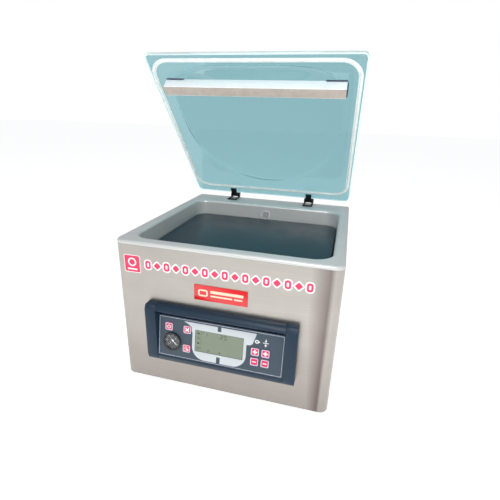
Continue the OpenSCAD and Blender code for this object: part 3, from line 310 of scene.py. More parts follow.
def clear(name, tint, roughness=0.0, ior=ACRYLIC_IOR, swirl=0.0, transmission=1.0, **more):
    """Clear plastic or glass that lets lamplight through, with a faint waviness of height swirl."""
    look = Look(name, tint, roughness, Transmission_Weight=transmission, IOR=ior, **more)
    if swirl:
        look.bump(look.noise(7.0, detail=2.0), swirl, strength=0.4)
        marks = look.noise(30.0, detail=6.0)
        look.set("Roughness", look.ranged(marks, roughness, roughness + 0.05))
    passing = look.node("ShaderNodeBsdfTransparent", {"Color": tint})
    shadow = look.node("ShaderNodeLightPath").outputs["Is Shadow Ray"]
    mix = look.node("ShaderNodeMixShader", {0: shadow, 1: look.shader.outputs[0], 2: passing.outputs[0]})
    look.feed(look.tree.nodes["Material Output"].inputs["Surface"], mix.outputs[0])
    return look.material


def waves(look, scale, directions):
    """Parallel waves, one set for each direction."""
    return [look.node("ShaderNodeTexWave", {"Vector": look.place(), "Scale": scale},
                      bands_direction=direction).outputs["Fac"] for direction in directions]


def woven(name, colour):
    """Glass cloth coated with PTFE: a fine square weave under a smooth skin."""
    look = Look(name, colour, 0.42, Coat_Weight=0.25)
    weave = look.math("MULTIPLY", *waves(look, 320.0, "XY"))
    dark, light = tinted(colour, 0.18)
    look.set("Base Color", look.mixed(weave, dark, light))
    look.set("Roughness", look.ranged(look.noise(90.0), 0.36, 0.5))
    look.bump(weave, 0.00006, strength=0.8)
    return look.material


def liquid_crystal(name, colour):
    """A reflective display: grey-green, with its faint dot grid."""
    look = Look(name, colour, 0.28, Coat_Weight=0.5, Coat_Roughness=0.05)
    cells = look.math("MAXIMUM", *waves(look, 260.0, "XZ"))
    dark, light = tinted(colour, 0.05)
    shade = look.mixed(cells, dark, light)
    uneven = look.noise(12.0, detail=3.0)
    look.set("Base Color", look.mixed(look.ranged(uneven, 0.0, 0.5), shade, scaled(colour, 0.86)))
    look.set("Roughness", look.ranged(uneven, 0.24, 0.34))
    look.bump(cells, 0.000006, strength=0.5)
    return look.material


# ---- Colours and materials ----

STEEL = srgb(187, 182, 175)
DECK_STEEL = srgb(214, 216, 215)
NAVY = srgb(23, 47, 66)
SLATE = srgb(56, 73, 86)
PALE = srgb(203, 210, 214)
CRIMSON = srgb(222, 34, 84)
BLACK = srgb(20, 21, 23)
WHITE = srgb(238, 240, 243)
LILAC = srgb(214, 214, 240)
PILLAR_RED = srgb(226, 28, 34)
CREAM = srgb(240, 222, 196)
AQUA = srgb(148, 193, 200)
TEAL = srgb(34, 58, 68)

KEYS = ("power_button stop_button program_button vacuum_plus_button seal_plus_button "
        "vacuum_minus_button seal_minus_button")
BEZEL = "bezel_frame bezel_cap_left bezel_cap_right"
HINGES = "hinge_base_left hinge_base_right hinge_leaf_left hinge_leaf_right"
PLATES = "plate_lower plate_middle plate_upper"

looks = {
    # The housing's painted tint is a brownish painted reflection at the front's right end and painted shade
    # at its foot.
    "steel": brushed("brushed_housing", STEEL, 0.34, painted_tint=srgb(112, 99, 98)),
    "deck": brushed("deck_steel", DECK_STEEL, 0.34, spread=0.05, grain=520.0, metallic=0.3),
    "zinc": plated("zinc_plate", srgb(176, 180, 184), 0.32),
    "grille": moulded("grille", srgb(246, 247, 249), 0.34, grain=900.0, bump=POLISHED, spread=0.03,
                      Metallic=0.1),
    "foot": rubbery("foot_rubber", srgb(28, 28, 30)),
    "hose": rubbery("hose_rubber", srgb(34, 34, 37), 0.6),
    "navy": moulded("bezel_plastic", NAVY, 0.42, grain=1900.0, wear=(0.0008, srgb(58, 84, 104)),
                    Specular_IOR_Level=0.36),
    "slate": printed("panel_film", SLATE, 0.45, coat=0.05),
    "pale": printed("surround_film", PALE, 0.4),
    "lcd": liquid_crystal("display", srgb(124, 136, 116)),
    "crimson": moulded("button_plastic", CRIMSON, 0.3, grain=1500.0, bump=POLISHED, coat=0.35,
                       spread=0.03),
    "white_ink": printed("white_ink", WHITE, 0.4, coat=0.1),
    "lilac_ink": printed("lilac_ink", LILAC, 0.4, coat=0.1),
    "lcd_ink": printed("lcd_segment", srgb(48, 56, 50), 0.35, coat=0.1),
    "lcd_frame": printed("lcd_frame", srgb(96, 104, 104), 0.4, coat=0.1),
    "black": moulded("black_plastic", BLACK, 0.42, grain=1400.0, bump=0.00004,
                     wear=(0.0006, srgb(70, 72, 76))),
    "gauge_black": moulded("gauge_ring", srgb(10, 11, 13), 0.2, grain=1800.0, bump=POLISHED, coat=0.25),
    "dial": printed("dial_face", srgb(24, 26, 28), 0.5, coat=0.0),
    "needle": printed("needle_white", srgb(240, 240, 240), 0.35),
    "lens": clear("clear_lens", (0.96, 0.98, 1.0, 1.0), ior=1.45),
    "board": cast("circuit_board", srgb(22, 96, 58), 0.45),
    "badge": moulded("red_badge", PILLAR_RED, 0.22, grain=1200.0, bump=POLISHED, coat=0.7, spread=0.03),
    "cream": printed("cream_enamel", CREAM, 0.3, coat=0.4),
    "decal_red": printed("decal_red", srgb(228, 46, 92), 0.34, coat=0.3),
    "decal_white": printed("decal_film", srgb(246, 240, 244), 0.38, coat=0.3),
    "insert": moulded("insert_plate", TEAL, 0.33, grain=900.0, bump=0.00005,
                      wear=(0.0012, srgb(84, 108, 116)), spread=0.08, Specular_IOR_Level=0.3),
    "bar": moulded("bar_aluminium", srgb(248, 250, 252), 0.3, grain=1000.0, bump=POLISHED, coat=0.2,
                   spread=0.03),
    "wire": plated("seal_wire", srgb(168, 166, 160), 0.3),
    "tape": woven("ptfe_tape", srgb(150, 118, 84)),
    "acrylic": clear("tinted_acrylic", AQUA, 0.02, swirl=0.00035),
    # The lid's rim band is whiter and glows: a painted highlight where its edges catch light.
    "acrylic_edge": clear("acrylic_edge", srgb(240, 249, 250), 0.5, transmission=0.6,
                          Emission_Color=srgb(225, 245, 247), Emission_Strength=0.2),
    # The seal glows a little: painted light that lifts its shaded lower run.
    "ring": rubbery("seal_rubber", srgb(226, 234, 231), 0.55, sheen=0.15,
                    Emission_Color=srgb(214, 232, 232), Emission_Strength=0.08),
    "silicone": rubbery("silicone", srgb(184, 174, 164), 0.6, sheen=0.2),
    "clip": moulded("clip_plastic", srgb(36, 38, 78), 0.4, grain=1200.0),
    "hinge": moulded("hinge_black", srgb(16, 17, 19), 0.38, grain=1100.0, bump=0.00006,
                     wear=(0.0007, srgb(80, 82, 86)), Specular_IOR_Level=0.25),
    "pump": cast("pump_cast", srgb(104, 112, 122), 0.45, metallic=0.7),
    "motor": cast("motor_cast", srgb(78, 88, 102), 0.5),
    "rotor": cast("rotor", srgb(52, 52, 56), 0.45, metallic=0.8),
    "iron": cast("transformer", srgb(58, 56, 58), 0.55, metallic=0.4),
    "label": brushed("rating_label", srgb(206, 208, 210), 0.42, spread=0.04, grain=900.0),
    "brass": plated("contact_brass", srgb(206, 176, 112), 0.24),
    # Painted shade: a near-black sheet laid where screw recesses and grille gaps fall into shade.
    "painted_shade": rubbery("dark_recess", srgb(12, 12, 14), 0.85, sheen=0.0, Specular_IOR_Level=0.1),
    "ink": printed("label_ink", srgb(44, 46, 50), 0.5, coat=0.0),
}

node_looks = {
    "steel": "housing_wrap rear_panel", "deck": "deck_chamber", "grille": "suction_grille",
    "zinc": "base_plate hinge_pins hinge_springs base_screws leaf_screws panel_screws lift_rods",
    "foot": "feet pump_mounts", "hose": "vacuum_hose", "navy": BEZEL,
    "slate": "control_plate", "pale": "display_surround", "lcd": "display_module", "crimson": KEYS,
    "gauge_black": "gauge_case", "dial": "gauge_dial", "needle": "gauge_needle", "lens": "gauge_lens",
    "board": "control_board", "badge": "badge_plate", "decal_white": "front_decals",
    "insert": PLATES, "bar": "seal_bar counter_bar lift_cylinders",
    "wire": "seal_wires", "tape": "seal_cover_tape", "acrylic": "lid_shell", "ring": "lid_seal",
    "silicone": "silicone_strip", "clip": "bar_clips", "hinge": HINGES,
    "black": "fan_frame fan_rotor power_inlet lid_switch", "pump": "pump_block valve_block",
    "motor": "pump_motor exhaust_filter", "rotor": "pump_rotor", "iron": "seal_transformer",
}

# Rounding of the CAD nodes' edges, in millimetres.
EDGE_ROUNDING = {
    0.8: f"{BEZEL} counter_bar seal_bar feet",
    0.5: f"{KEYS} {HINGES} {PLATES} gauge_case badge_plate leaf_screws power_inlet panel_screws bar_clips",
    0.15: "display_surround base_screws",
}
ROUNDING_SEGMENTS = 3
ROUNDING_ANGLE = math.radians(40)
WELD_DISTANCE = 0.000002
SMOOTH_ANGLE = math.radians(32)


def smooth(mesh, angle=SMOOTH_ANGLE):
    """Smooth shading that keeps the edges sharper than an angle."""
    mesh.shade_smooth()
    mesh.set_sharp_from_angle(angle=angle)


def dress_cad_nodes():
    """Gives every carried-over CAD node its material, smooth shading and small edge radii."""
    for key, names in node_looks.items():
        for name in names.split():
            mesh = NODES[name].data
            mesh.materials.clear()
            mesh.materials.append(looks[key])
            smooth(mesh)
    for radius, names in EDGE_ROUNDING.items():
        for name in names.split():
            weld = NODES[name].modifiers.new("weld", "WELD")
            weld.merge_threshold = WELD_DISTANCE
            bevel = NODES[name].modifiers.new("rounding", "BEVEL")
            bevel.width = radius * MM
            bevel.segments = ROUNDING_SEGMENTS
            bevel.limit_method = "ANGLE"
            bevel.angle_limit = ROUNDING_ANGLE
            bevel.harden_normals = True


dress_cad_nodes()


# ---- Mesh helpers: outlines are lists of points in millimetres ----

def add_piece(name, mesh, body, look):
    """Puts a finished mesh, given in the row frame, on its body."""
    mesh.materials.append(looks[look])
    made = bpy.data.objects.new(name, mesh)
    scene.collection.objects.link(made)
    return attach(made, body)


def circle(x, y, r, n=32):
    return [(x + r * math.cos(2 * math.pi * k / n), y + r * math.sin(2 * math.pi * k / n)) for k in range(n)]


def ring(x, y, r, width, n=40):
    """The two outlines of a ring of a given width."""
    return [circle(x, y, r, n), circle(x, y, r - width, n)]


def soft_rect(x, y, w, h, r, n=6):
    """A rectangle about (x, y) with round corners."""
    points = []
    for quarter, (sx, sy) in enumerate(((1, 1), (-1, 1), (-1, -1), (1, -1))):
        for k in range(n + 1):
            a = math.radians(90 * quarter + 90 * k / n)
            points.append((x + sx * (w / 2 - r) + r * math.cos(a), y + sy * (h / 2 - r) + r * math.sin(a)))
    return points


def soft_frame(x, y, w, h, r, width):
    """The two outlines of a frame with round corners."""
    return [soft_rect(x, y, w, h, r), soft_rect(x, y, w - 2 * width, h - 2 * width, max(r - width, 0.1))]


def bar(x0, y0, x1, y1, w):
    """A straight stroke of width w between two points."""
    length = math.hypot(x1 - x0, y1 - y0)
    nx, ny = -(y1 - y0) / length * w / 2, (x1 - x0) / length * w / 2
    return [(x0 + nx, y0 + ny), (x0 - nx, y0 - ny), (x1 - nx, y1 - ny), (x1 + nx, y1 + ny)]


def arc_band(x, y, r, w, start, end, n=24):
    """Part of a ring, between two angles in degrees."""
    angles = [math.radians(start + (end - start) * k / n) for k in range(n + 1)]
    outer = [(x + r * math.cos(a), y + r * math.sin(a)) for a in angles]
    inner = [(x + (r - w) * math.cos(a), y + (r - w) * math.sin(a)) for a in reversed(angles)]
    return outer + inner


def plus(x, y, size, w):
    """A plus sign as one outline."""
    a, b = size / 2, w / 2
    corners = [(b, b), (b, a), (-b, a), (-b, b), (-a, b), (-a, -b), (-b, -b), (-b, -a), (b, -a), (b, -b),
               (a, -b), (a, b)]
    return [(x + p, y + q) for p, q in corners]


def turned(points, degrees, x, y):
    """An outline turned about (x, y)."""
    c, s = math.cos(math.radians(degrees)), math.sin(math.radians(degrees))
    return [(x + (p - x) * c - (q - y) * s, y + (p - x) * s + (q - y) * c) for p, q in points]


# Heights of printed marks, in millimetres.
INK = 0.06
PANEL_INK = 0.08
RIM_INK = 0.1
KEY_INK = 0.14
KEY_SINK = 0.02
DECAL_FILM = 0.12


def stamp(name, loops, place, thickness, body, look, lift=0.0, rounding=0.0):
    """A thin solid cut to closed outlines; an outline inside another is a hole. It lies on the XY plane
    of the frame place, lifted by lift and standing out by thickness, both in millimetres."""
    curve = bpy.data.curves.new(name, "CURVE")
    curve.dimensions = "2D"
    curve.fill_mode = "BOTH"
    curve.extrude = (thickness / 2 - rounding) * MM
    curve.bevel_depth = rounding * MM
    curve.bevel_resolution = 2
    curve.offset = -rounding * MM
    for loop in loops:
        spline = curve.splines.new("POLY")
        spline.points.add(len(loop) - 1)
        for point, (x, y) in zip(spline.points, loop):
            point.co = (x * MM, y * MM, 0, 1)
        spline.use_cyclic_u = True
    holder = bpy.data.objects.new(name + "_curve", curve)
    scene.collection.objects.link(holder)
    bpy.context.view_layer.update()
    mesh = bpy.data.meshes.new_from_object(holder.evaluated_get(bpy.context.evaluated_depsgraph_get()))
    bpy.data.objects.remove(holder)
    mesh.transform(place @ Matrix.Translation((0, 0, (lift + thickness / 2) * MM)))
    mesh.materials.clear()
    mesh.name = name
    smooth(mesh)
    return add_piece(name, mesh, body, look)


def mesh_from(name, vertices, faces):
    mesh = bpy.data.meshes.new(name)
    mesh.from_pydata([tuple(v) for v in vertices], [], faces)
    mesh.validate()
    mesh.update()
    return mesh


# ---- Lid ----

# The flat flange's widths and the dome's curve. The dome is widest DOME_WIDE_AT from the lid's rear edge.
DOME_SIDE_FLANGE = 42 * MM
DOME_REAR_FLANGE = 77 * MM
DOME_FRONT_FLANGE = 28 * MM
DOME_WIDE_AT = 300 * MM
DOME_REAR_POWER = 2
DOME_FRONT_POWER = 4.5
DOME_SHOULDER = 2.2
DOME_FOOT = 0.9
DOME_FRONT_SOFTENING = 0.45
LID_CORNER = 13 * MM
LID_THICKNESS = 8 * MM
RIM_ROUNDING = 3.4 * MM
CORNER_STEPS = 10
SIDE_STEPS = 26
RIM_STEPS = 4
FLANGE_SHARES = (0.5, 0.9)
DOME_RINGS = 26
DOME_RING_SPACING = 0.8
LID_SMOOTH_ANGLE = math.radians(50)


def make_lid():
    """The domed acrylic lid after its CAD node, with finer steps, a rounded rim and a gentler front foot."""
    low, high = transformed_box("lid_shell", TO_LID)
    half = high.x
    rear, front, under = high.y, low.y, low.z
    dome_h = high.z - low.z - LID_THICKNESS
    centre_y = rear - DOME_WIDE_AT
    dome_half = half - DOME_SIDE_FLANGE
    rear_reach = DOME_WIDE_AT - DOME_REAR_FLANGE
    front_reach = (rear - front) - DOME_WIDE_AT - DOME_FRONT_FLANGE

    def outline(inset):
        """The lid's outline in plan, drawn in by inset: a round corner and a side, four times."""
        r = LID_CORNER - inset
        corners = ((half, rear, 1, 1), (-half, rear, -1, 1), (-half, front, -1, -1), (half, front, 1, -1))
        arcs = []
        for quarter, (x, y, sx, sy) in enumerate(corners):
            cx, cy = x - sx * LID_CORNER, y - sy * LID_CORNER
            angles = [math.radians(90 * quarter + 90 * k / CORNER_STEPS) for k in range(CORNER_STEPS + 1)]
            arcs.append([(cx + r * math.cos(a), cy + r * math.sin(a)) for a in angles])
        points = []
        for quarter in range(4):
            points += arcs[quarter]
            x0, y0 = arcs[quarter][-1]
            x1, y1 = arcs[(quarter + 1) % 4][0]
            points += [(x0 + (x1 - x0) * k / SIDE_STEPS, y0 + (y1 - y0) * k / SIDE_STEPS)
                       for k in range(1, SIDE_STEPS)]
        return points

    def dome_edge(x, y):
        """Where the dome's edge lies, from its middle, in the direction of a point of the outline."""
        dx, dy = x, y - centre_y
        d = math.hypot(dx, dy)
        ux, uy = dx / d, dy / d
        power, reach = (DOME_REAR_POWER, rear_reach) if uy > 0 else (DOME_FRONT_POWER, front_reach)
        k = ((abs(ux) / dome_half) ** power + (abs(uy) / reach) ** power) ** (-1 / power)
        return ux * k, uy * k

    def rise(q, ex, ey):
        """The dome's height at share q of the way out; its foot is gentler towards the lid's front."""
        softening = DOME_FRONT_SOFTENING * max(0.0, -ey / math.hypot(ex, ey))
        return dome_h * (1 - q ** DOME_SHOULDER) ** (DOME_FOOT + softening)

    base = outline(0)
    edges = [dome_edge(x, y) for x, y in base]
    count = len(base)
    shares = [math.cos(math.pi / 2 * (k / DOME_RINGS)) ** DOME_RING_SPACING for k in range(DOME_RINGS)]

    def skin(level, flip):
        """Rings from the rim to the dome's foot and up to its crown, on one face of the sheet."""
        rings = []
        for k in range(RIM_STEPS + 1):
            a = math.pi / 2 * k / RIM_STEPS
            inset = RIM_ROUNDING * (1 - math.cos(a))
            z = level - flip * RIM_ROUNDING * (1 - math.sin(a))
            rings.append([(x, y, z) for x, y in outline(inset)])
        for share in FLANGE_SHARES:
            rings.append([(x + (ex - x) * share, y + (centre_y + ey - y) * share, level)
                          for (x, y), (ex, ey) in zip(base, edges)])
        for q in shares:
            rings.append([(ex * q, centre_y + ey * q, level + rise(q, ex, ey)) for ex, ey in edges])
        return rings, (0, centre_y, level + dome_h)

    vertices, faces, starts = [], [], []
    for level, flip in ((under + LID_THICKNESS, 1), (under, -1)):
        rings, crown = skin(level, flip)
        start = len(vertices)
        starts.append(start)
        for loop in rings:
            vertices += loop
        crown_at = len(vertices)
        vertices.append(crown)
        for r in range(len(rings) - 1):
            for i in range(count):
                a, b = start + r * count + i, start + r * count + (i + 1) % count
                face = (a, b, b + count, a + count)
                faces.append(face if flip > 0 else face[::-1])
        last = crown_at - count
        for i in range(count):
            face = (last + i, last + (i + 1) % count, crown_at)
            faces.append(face if flip > 0 else face[::-1])
    skin_faces = len(faces) // 2
    upper, lower = starts
    for i in range(count):
        j = (i + 1) % count
        faces.append((lower + i, lower + j, upper + j, upper + i))
    mesh = mesh_from("lid_clear", [LID @ Vector(v) for v in vertices], faces)
    smooth(mesh, LID_SMOOTH_ANGLE)
    lid = add_piece("lid_clear", mesh, "lid", "acrylic")
    # The rim band takes the whiter, glowing material: a painted highlight along the lid's edges.
    mesh.materials.append(looks["acrylic_edge"])
    for index, polygon in enumerate(mesh.polygons):
        in_rim = index >= 2 * skin_faces or index % skin_faces < RIM_STEPS * count
        polygon.material_index = 1 if in_rim else 0
    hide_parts("lid_shell")


make_lid()


# ---- Control panel print, keys, display and gauge ----

def panel_centre(name):
    """The middle of a node in the panel's plane and the height of its face, in millimetres."""
    low, high = transformed_box(name, TO_PANEL)
    return (low.x + high.x) / 2 / MM, (low.y + high.y) / 2 / MM, high.z / MM


def power_sign(x, y):
    return [arc_band(x, y - 0.4, 4.4, 1.5, 125, 415), bar(x, y + 0.6, x, y + 5.0, 1.5)]


def stop_sign(x, y):
    return [turned(plus(x, y, 11.5, 2.8), 45, x, y)]


def program_sign(x, y):
    return [*ring(x - 1.6, y + 1.6, 3.2, 1.1), soft_rect(x + 2.6, y - 2.9, 4.6, 3.4, 0.6),
            bar(x - 4.6, y - 4.4, x - 1.2, y - 4.4, 1.0), bar(x + 3.6, y + 4.6, x + 3.6, y + 1.4, 1.0)]


def plus_sign(x, y):
    return [plus(x, y, 9.6, 3.4)]


def minus_sign(x, y):
    return [soft_rect(x, y, 8.4, 2.4, 0.5)]


KEY_SIGNS = {
    "power_button": power_sign, "stop_button": stop_sign, "program_button": program_sign,
    "vacuum_plus_button": plus_sign, "seal_plus_button": plus_sign,
    "vacuum_minus_button": minus_sign, "seal_minus_button": minus_sign,
}
KEY_BORDER_SIDE = 17.2


def make_key_marks():
    """A sign and a pale border on each key; both ride on the key."""
    for name, sign in KEY_SIGNS.items():
        x, y, top = panel_centre(name)
        body = name + "_key"
        stamp(name + "_mark", sign(x, y), PANEL, KEY_INK, body, "white_ink", top - KEY_SINK)
        border = soft_frame(x, y, KEY_BORDER_SIDE, KEY_BORDER_SIDE, 2.6, 1.7)
        stamp(name + "_border", border, PANEL, RIM_INK, body, "lilac_ink", top - KEY_SINK)


PRINTED_HEIGHT = 97.0
BORDER_MARGIN = 5
ICON_Y = -24.0
VACUUM_ICON_X = 84.0
SEAL_ICON_X = 103.5


def make_panel_print():
    """The panel's border and its two icons: a lying drop, and two arrows that press on a line."""
    low, high = transformed_box("control_plate", TO_PANEL)
    width, height = (high.x - low.x) / MM - BORDER_MARGIN, PRINTED_HEIGHT - BORDER_MARGIN
    border = soft_frame(0, -PRINTED_HEIGHT / 2, width, height, 1.2, 0.7)
    stamp("panel_border", border, PANEL, PANEL_INK, "base", "lilac_ink")
    x, y = VACUUM_ICON_X, ICON_Y
    round_part = [math.radians(a) for a in range(50, 311, 10)]
    drop = [(x + 4.2 * math.cos(a), y + 4.2 * math.sin(a)) for a in round_part] + [(x + 7.4, y)]
    stamp("vacuum_icon", [drop, circle(x, y, 2.1, 24)], PANEL, PANEL_INK, "base", "white_ink")
    x = SEAL_ICON_X
    stem = [bar(x, y + 8.6, x, y + 4.4, 1.6), bar(x, y - 8.6, x, y - 4.4, 1.6)]
    heads = [[(x - 2.8, y + s * 4.6), (x + 2.8, y + s * 4.6), (x, y + s * 1.6)][::s] for s in (1, -1)]
    line = [bar(x - 6.2, y, x + 6.2, y, 1.5)]
    stamp("seal_icon", stem + heads + line, PANEL, PANEL_INK, "base", "white_ink")


# A digit's strokes as start and end corners: 0 or 1 across, 0 to 2 up.
SEGMENTS = {"a": (0, 2, 1, 2), "b": (1, 2, 1, 1), "c": (1, 1, 1, 0), "d": (0, 0, 1, 0), "e": (0, 1, 0, 0),
            "f": (0, 2, 0, 1), "g": (0, 1, 1, 1)}
DIGITS = {"0": "abcdef", "1": "bc", "2": "abged", "5": "afgcd"}


def digit(character, x, y, w, h, stroke):
    """Seven-segment strokes for one digit whose lower left corner is (x, y)."""
    made = []
    gap = stroke * 0.62
    for name in DIGITS[character]:
        x0, y0, x1, y1 = SEGMENTS[name]
        a, b = (x + x0 * w, y + y0 * h / 2), (x + x1 * w, y + y1 * h / 2)
        if a[1] == b[1]:
            made.append(bar(a[0] + gap, a[1], b[0] - gap, b[1], stroke))
        else:
            made.append(bar(a[0], a[1] - gap, b[0], b[1] + gap, stroke))
    return made


# The display's layout, in millimetres from its left and lower or upper edge.
DISPLAY_RULE_X = 14
DISPLAY_DIGITS = ((22, "1"), (58, "2"), (67, "0"))
DISPLAY_DIGIT_DROP = 12.5
DISPLAY_DIGIT_SIZE = (5.2, 8.6, 1.5)  # width, height and stroke
DISPLAY_SIGN_X = 7.4
DISPLAY_SIGNS = 4
DISPLAY_SIGN_PITCH = 11.5
DISPLAY_FOOT_Y = 5.5


def make_display_marks():
    """The display's rim and its segments: a rule, three digits and a few plain signs."""
    low, high = transformed_box("display_module", TO_PANEL)
    left, right = low.x / MM, high.x / MM
    bottom, top, face = low.y / MM, high.y / MM, high.z / MM
    rim = soft_frame((left + right) / 2, (bottom + top) / 2, right - left, top - bottom, 0.8, 1.0)
    stamp("display_rim", rim, PANEL, RIM_INK, "base", "lcd_frame", face)
    rule_x = left + DISPLAY_RULE_X
    marks = [bar(rule_x, bottom + 4, rule_x, top - 4, 0.5)]
    for x, character in DISPLAY_DIGITS:
        marks += digit(character, left + x, top - DISPLAY_DIGIT_DROP, *DISPLAY_DIGIT_SIZE)
    x = left + DISPLAY_SIGN_X
    for k in range(DISPLAY_SIGNS):
        y = top - 8 - k * DISPLAY_SIGN_PITCH
        marks += ring(x, y, 3.0, 1.0, 20) if k % 2 else [soft_rect(x, y, 5.2, 4.2, 0.7)]
    y = bottom + DISPLAY_FOOT_Y
    marks += ring(left + 32, y, 2.6, 0.7, 20)
    marks.append(plus(left + 58, y, 6, 0.9))
    stamp("display_segments", marks, PANEL, INK, "base", "lcd_ink", face)


# The gauge's scale: angles in degrees, lengths in millimetres.
SCALE_START = -45
TICKS = 19
TICK_STEP = 15
TICKS_PER_FIGURE = 3
SCALE_MARGIN = 1.4
LONG_TICK, LONG_TICK_WIDTH = 3.6, 0.8
SHORT_TICK, SHORT_TICK_WIDTH = 1.8, 0.4
FIGURES = "0512"
FIGURE_STEP = 90
FIGURE_RADIUS = 8.6
FIGURE_WIDTH, FIGURE_HEIGHT, FIGURE_STROKE = 2.0, 3.2, 0.5


def make_gauge_marks():
    """Ticks and four figures round the gauge's dial."""
    x, y, face = panel_centre("gauge_dial")
    low, high = transformed_box("gauge_dial", TO_PANEL)
    outer = (high.x - low.x) / 2 / MM - SCALE_MARGIN
    marks = []
    for k in range(TICKS):
        a = math.radians(SCALE_START + k * TICK_STEP)
        length, width = SHORT_TICK, SHORT_TICK_WIDTH
        if k % TICKS_PER_FIGURE == 0:
            length, width = LONG_TICK, LONG_TICK_WIDTH
        inner = outer - length
        marks.append(bar(x + inner * math.cos(a), y + inner * math.sin(a),
                         x + outer * math.cos(a), y + outer * math.sin(a), width))
    for k, character in enumerate(FIGURES):
        a = math.radians(SCALE_START + FIGURE_STEP * k)
        marks += digit(character, x + FIGURE_RADIUS * math.cos(a) - FIGURE_WIDTH / 2,
                       y + FIGURE_RADIUS * math.sin(a) - FIGURE_HEIGHT / 2,
                       FIGURE_WIDTH, FIGURE_HEIGHT, FIGURE_STROKE)
    stamp("gauge_ticks", marks, PANEL, INK, "base", "white_ink", face)


make_key_marks()
make_panel_print()
make_display_marks()
make_gauge_marks()


# ---- Front trim ----

STRIP_LEFT, STRIP_RIGHT, STRIP_Y = -176.0, 194.0, -50.5
STRIP_SHAPES = 17
STRIP_INK = 0.2
SQUARE_X, SQUARE_Y = -203.5, -52.5
SQUARE_FIELD = 0.18
SQUARE_INK = 0.24
BADGE_INK, BADGE_SINK, BADGE_ROUNDING = 0.3, 0.05, 0.08


def make_decals():
    """A strip of plain shapes with white outlines and a square with a ring, instead of words."""
    pitch = (STRIP_RIGHT - STRIP_LEFT) / STRIP_SHAPES
    y = STRIP_Y
    shapes, backs = [], []
    for k in range(STRIP_SHAPES):
        x = STRIP_LEFT + pitch * (k + 0.5)
        if k % 2 == 0:
            shapes.append(soft_rect(x, y, 13, 19, 5.5))
            shapes.append(soft_rect(x, y, 4.6, 9.5, 2.2))
            backs.append(soft_rect(x, y, 19, 25, 8))
        else:
            shapes.append(turned(soft_rect(x, y, 12, 12, 2.5), 45, x, y))
            backs.append(turned(soft_rect(x, y, 18, 18, 4), 45, x, y))
    first = stamp("strip_backing", backs, FRONT, DECAL_FILM, "base", "decal_white")
    stamp("strip_shapes", shapes, FRONT, STRIP_INK, "base", "decal_red")
    x, y = SQUARE_X, SQUARE_Y
    backing, field = soft_rect(x, y, 39, 41, 3.5), soft_rect(x, y, 36, 38, 2.5)
    stamp("square_backing", [backing], FRONT, DECAL_FILM, "base", "decal_white")
    stamp("square_field", [field], FRONT, SQUARE_FIELD, "base", "decal_red")
    marks = ring(x, y + 4, 10, 3.2) + [soft_rect(x, y - 12.5, 24, 3.6, 1.6)]
    stamp("square_marks", marks, FRONT, SQUARE_INK, "base", "decal_white")
    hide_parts("front_decals")


def make_badge_marks():
    """A ring and three bars on the badge, instead of words."""
    low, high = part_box("badge_plate")
    lift = (FRONT_Y - low.y) / MM - BADGE_SINK
    y = (low.z + high.z) / 2 / MM - DECK_Z / MM
    bars = [soft_rect(14, y + 4.6, 72, 6.4, 1.4), soft_rect(2, y - 5, 48, 3.6, 1.2),
            soft_rect(39, y - 5, 18, 3.6, 1.2)]
    stamp("badge_marks", soft_frame(-39, y, 22, 16, 5, 3.4) + bars, FRONT, BADGE_INK, "base", "cream",
          lift, BADGE_ROUNDING)


make_decals()
make_badge_marks()


# ---- Back, screws and suction grille ----

INLET_PIN_LENGTH, INLET_PIN_DEPTH, INLET_PIN_ROUNDING = 14, 18, 0.2
RATING_X, RATING_Y = -20, -60
RATING_WIDTH, RATING_HEIGHT = 74.0, 46.0
RATING_SHEET, RATING_ROUNDING = 0.4, 0.1
RATING_DASHES = ((22, 9, 16), (14, 20, 12), (18, 12, 8), (10, 24, 14))
SLAT_WIDTH, GRILLE_RIM = 2.4, 1.6
SLAT_GAPS = 5
SLAT_CLEARANCE = 0.1
GAP_DEPTH, GAP_LIFT = 0.9, 0.3


def clusters(name, reach, to_local):
    """The middles of a node's separate small pieces, given in another frame."""
    groups = []
    for vertex in NODES[name].data.vertices:
        p = to_local @ vertex.co
        near = [group for group in groups if (group[0] - p).length < reach]
        if near:
            near[0].append(p)
        else:
            groups.append([p])
    return [sum(group, Vector()) / len(group) for group in groups]


def paint_cross_shade(name, screws, reach, place, size, width, first_turn, next_turn, body):
    """A dark cross of painted shade on every head of a node of screws, standing for the shade in its recess,
    each turned a little further.
    """
    to_place = place.inverted()
    crosses = []
    for k, p in enumerate(clusters(screws, reach, to_place)):
        x, y = p.x / MM, p.y / MM
        crosses.append(turned(plus(x, y, size, width), first_turn + next_turn * k, x, y))
    top = transformed_box(screws, to_place)[1].z / MM
    stamp(name, crosses, place, INK, body, "painted_shade", top)


def make_screw_slot_shade():
    paint_cross_shade("panel_screw_slots", "panel_screws", 12 * MM, REAR, 4.8, 1.0, 20, 31, "base")
    paint_cross_shade("leaf_screw_slots", "leaf_screws", 8 * MM, LID, 4.2, 0.9, 12, 40, "lid")


def make_inlet_pins():
    """The three pins inside the mains inlet."""
    low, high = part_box("power_inlet")
    x = -(low.x + high.x) / 2 / MM
    y = ((low.z + high.z) / 2 - DECK_Z) / MM - 6
    pins = [soft_rect(x + dx, y + dy, 2.2, 5.0, 0.5) for dx, dy in ((-6.5, -2.5), (6.5, -2.5), (0, 3.5))]
    stamp("inlet_pins", pins, REAR, INLET_PIN_LENGTH, "base", "brass", -INLET_PIN_DEPTH,
          INLET_PIN_ROUNDING)


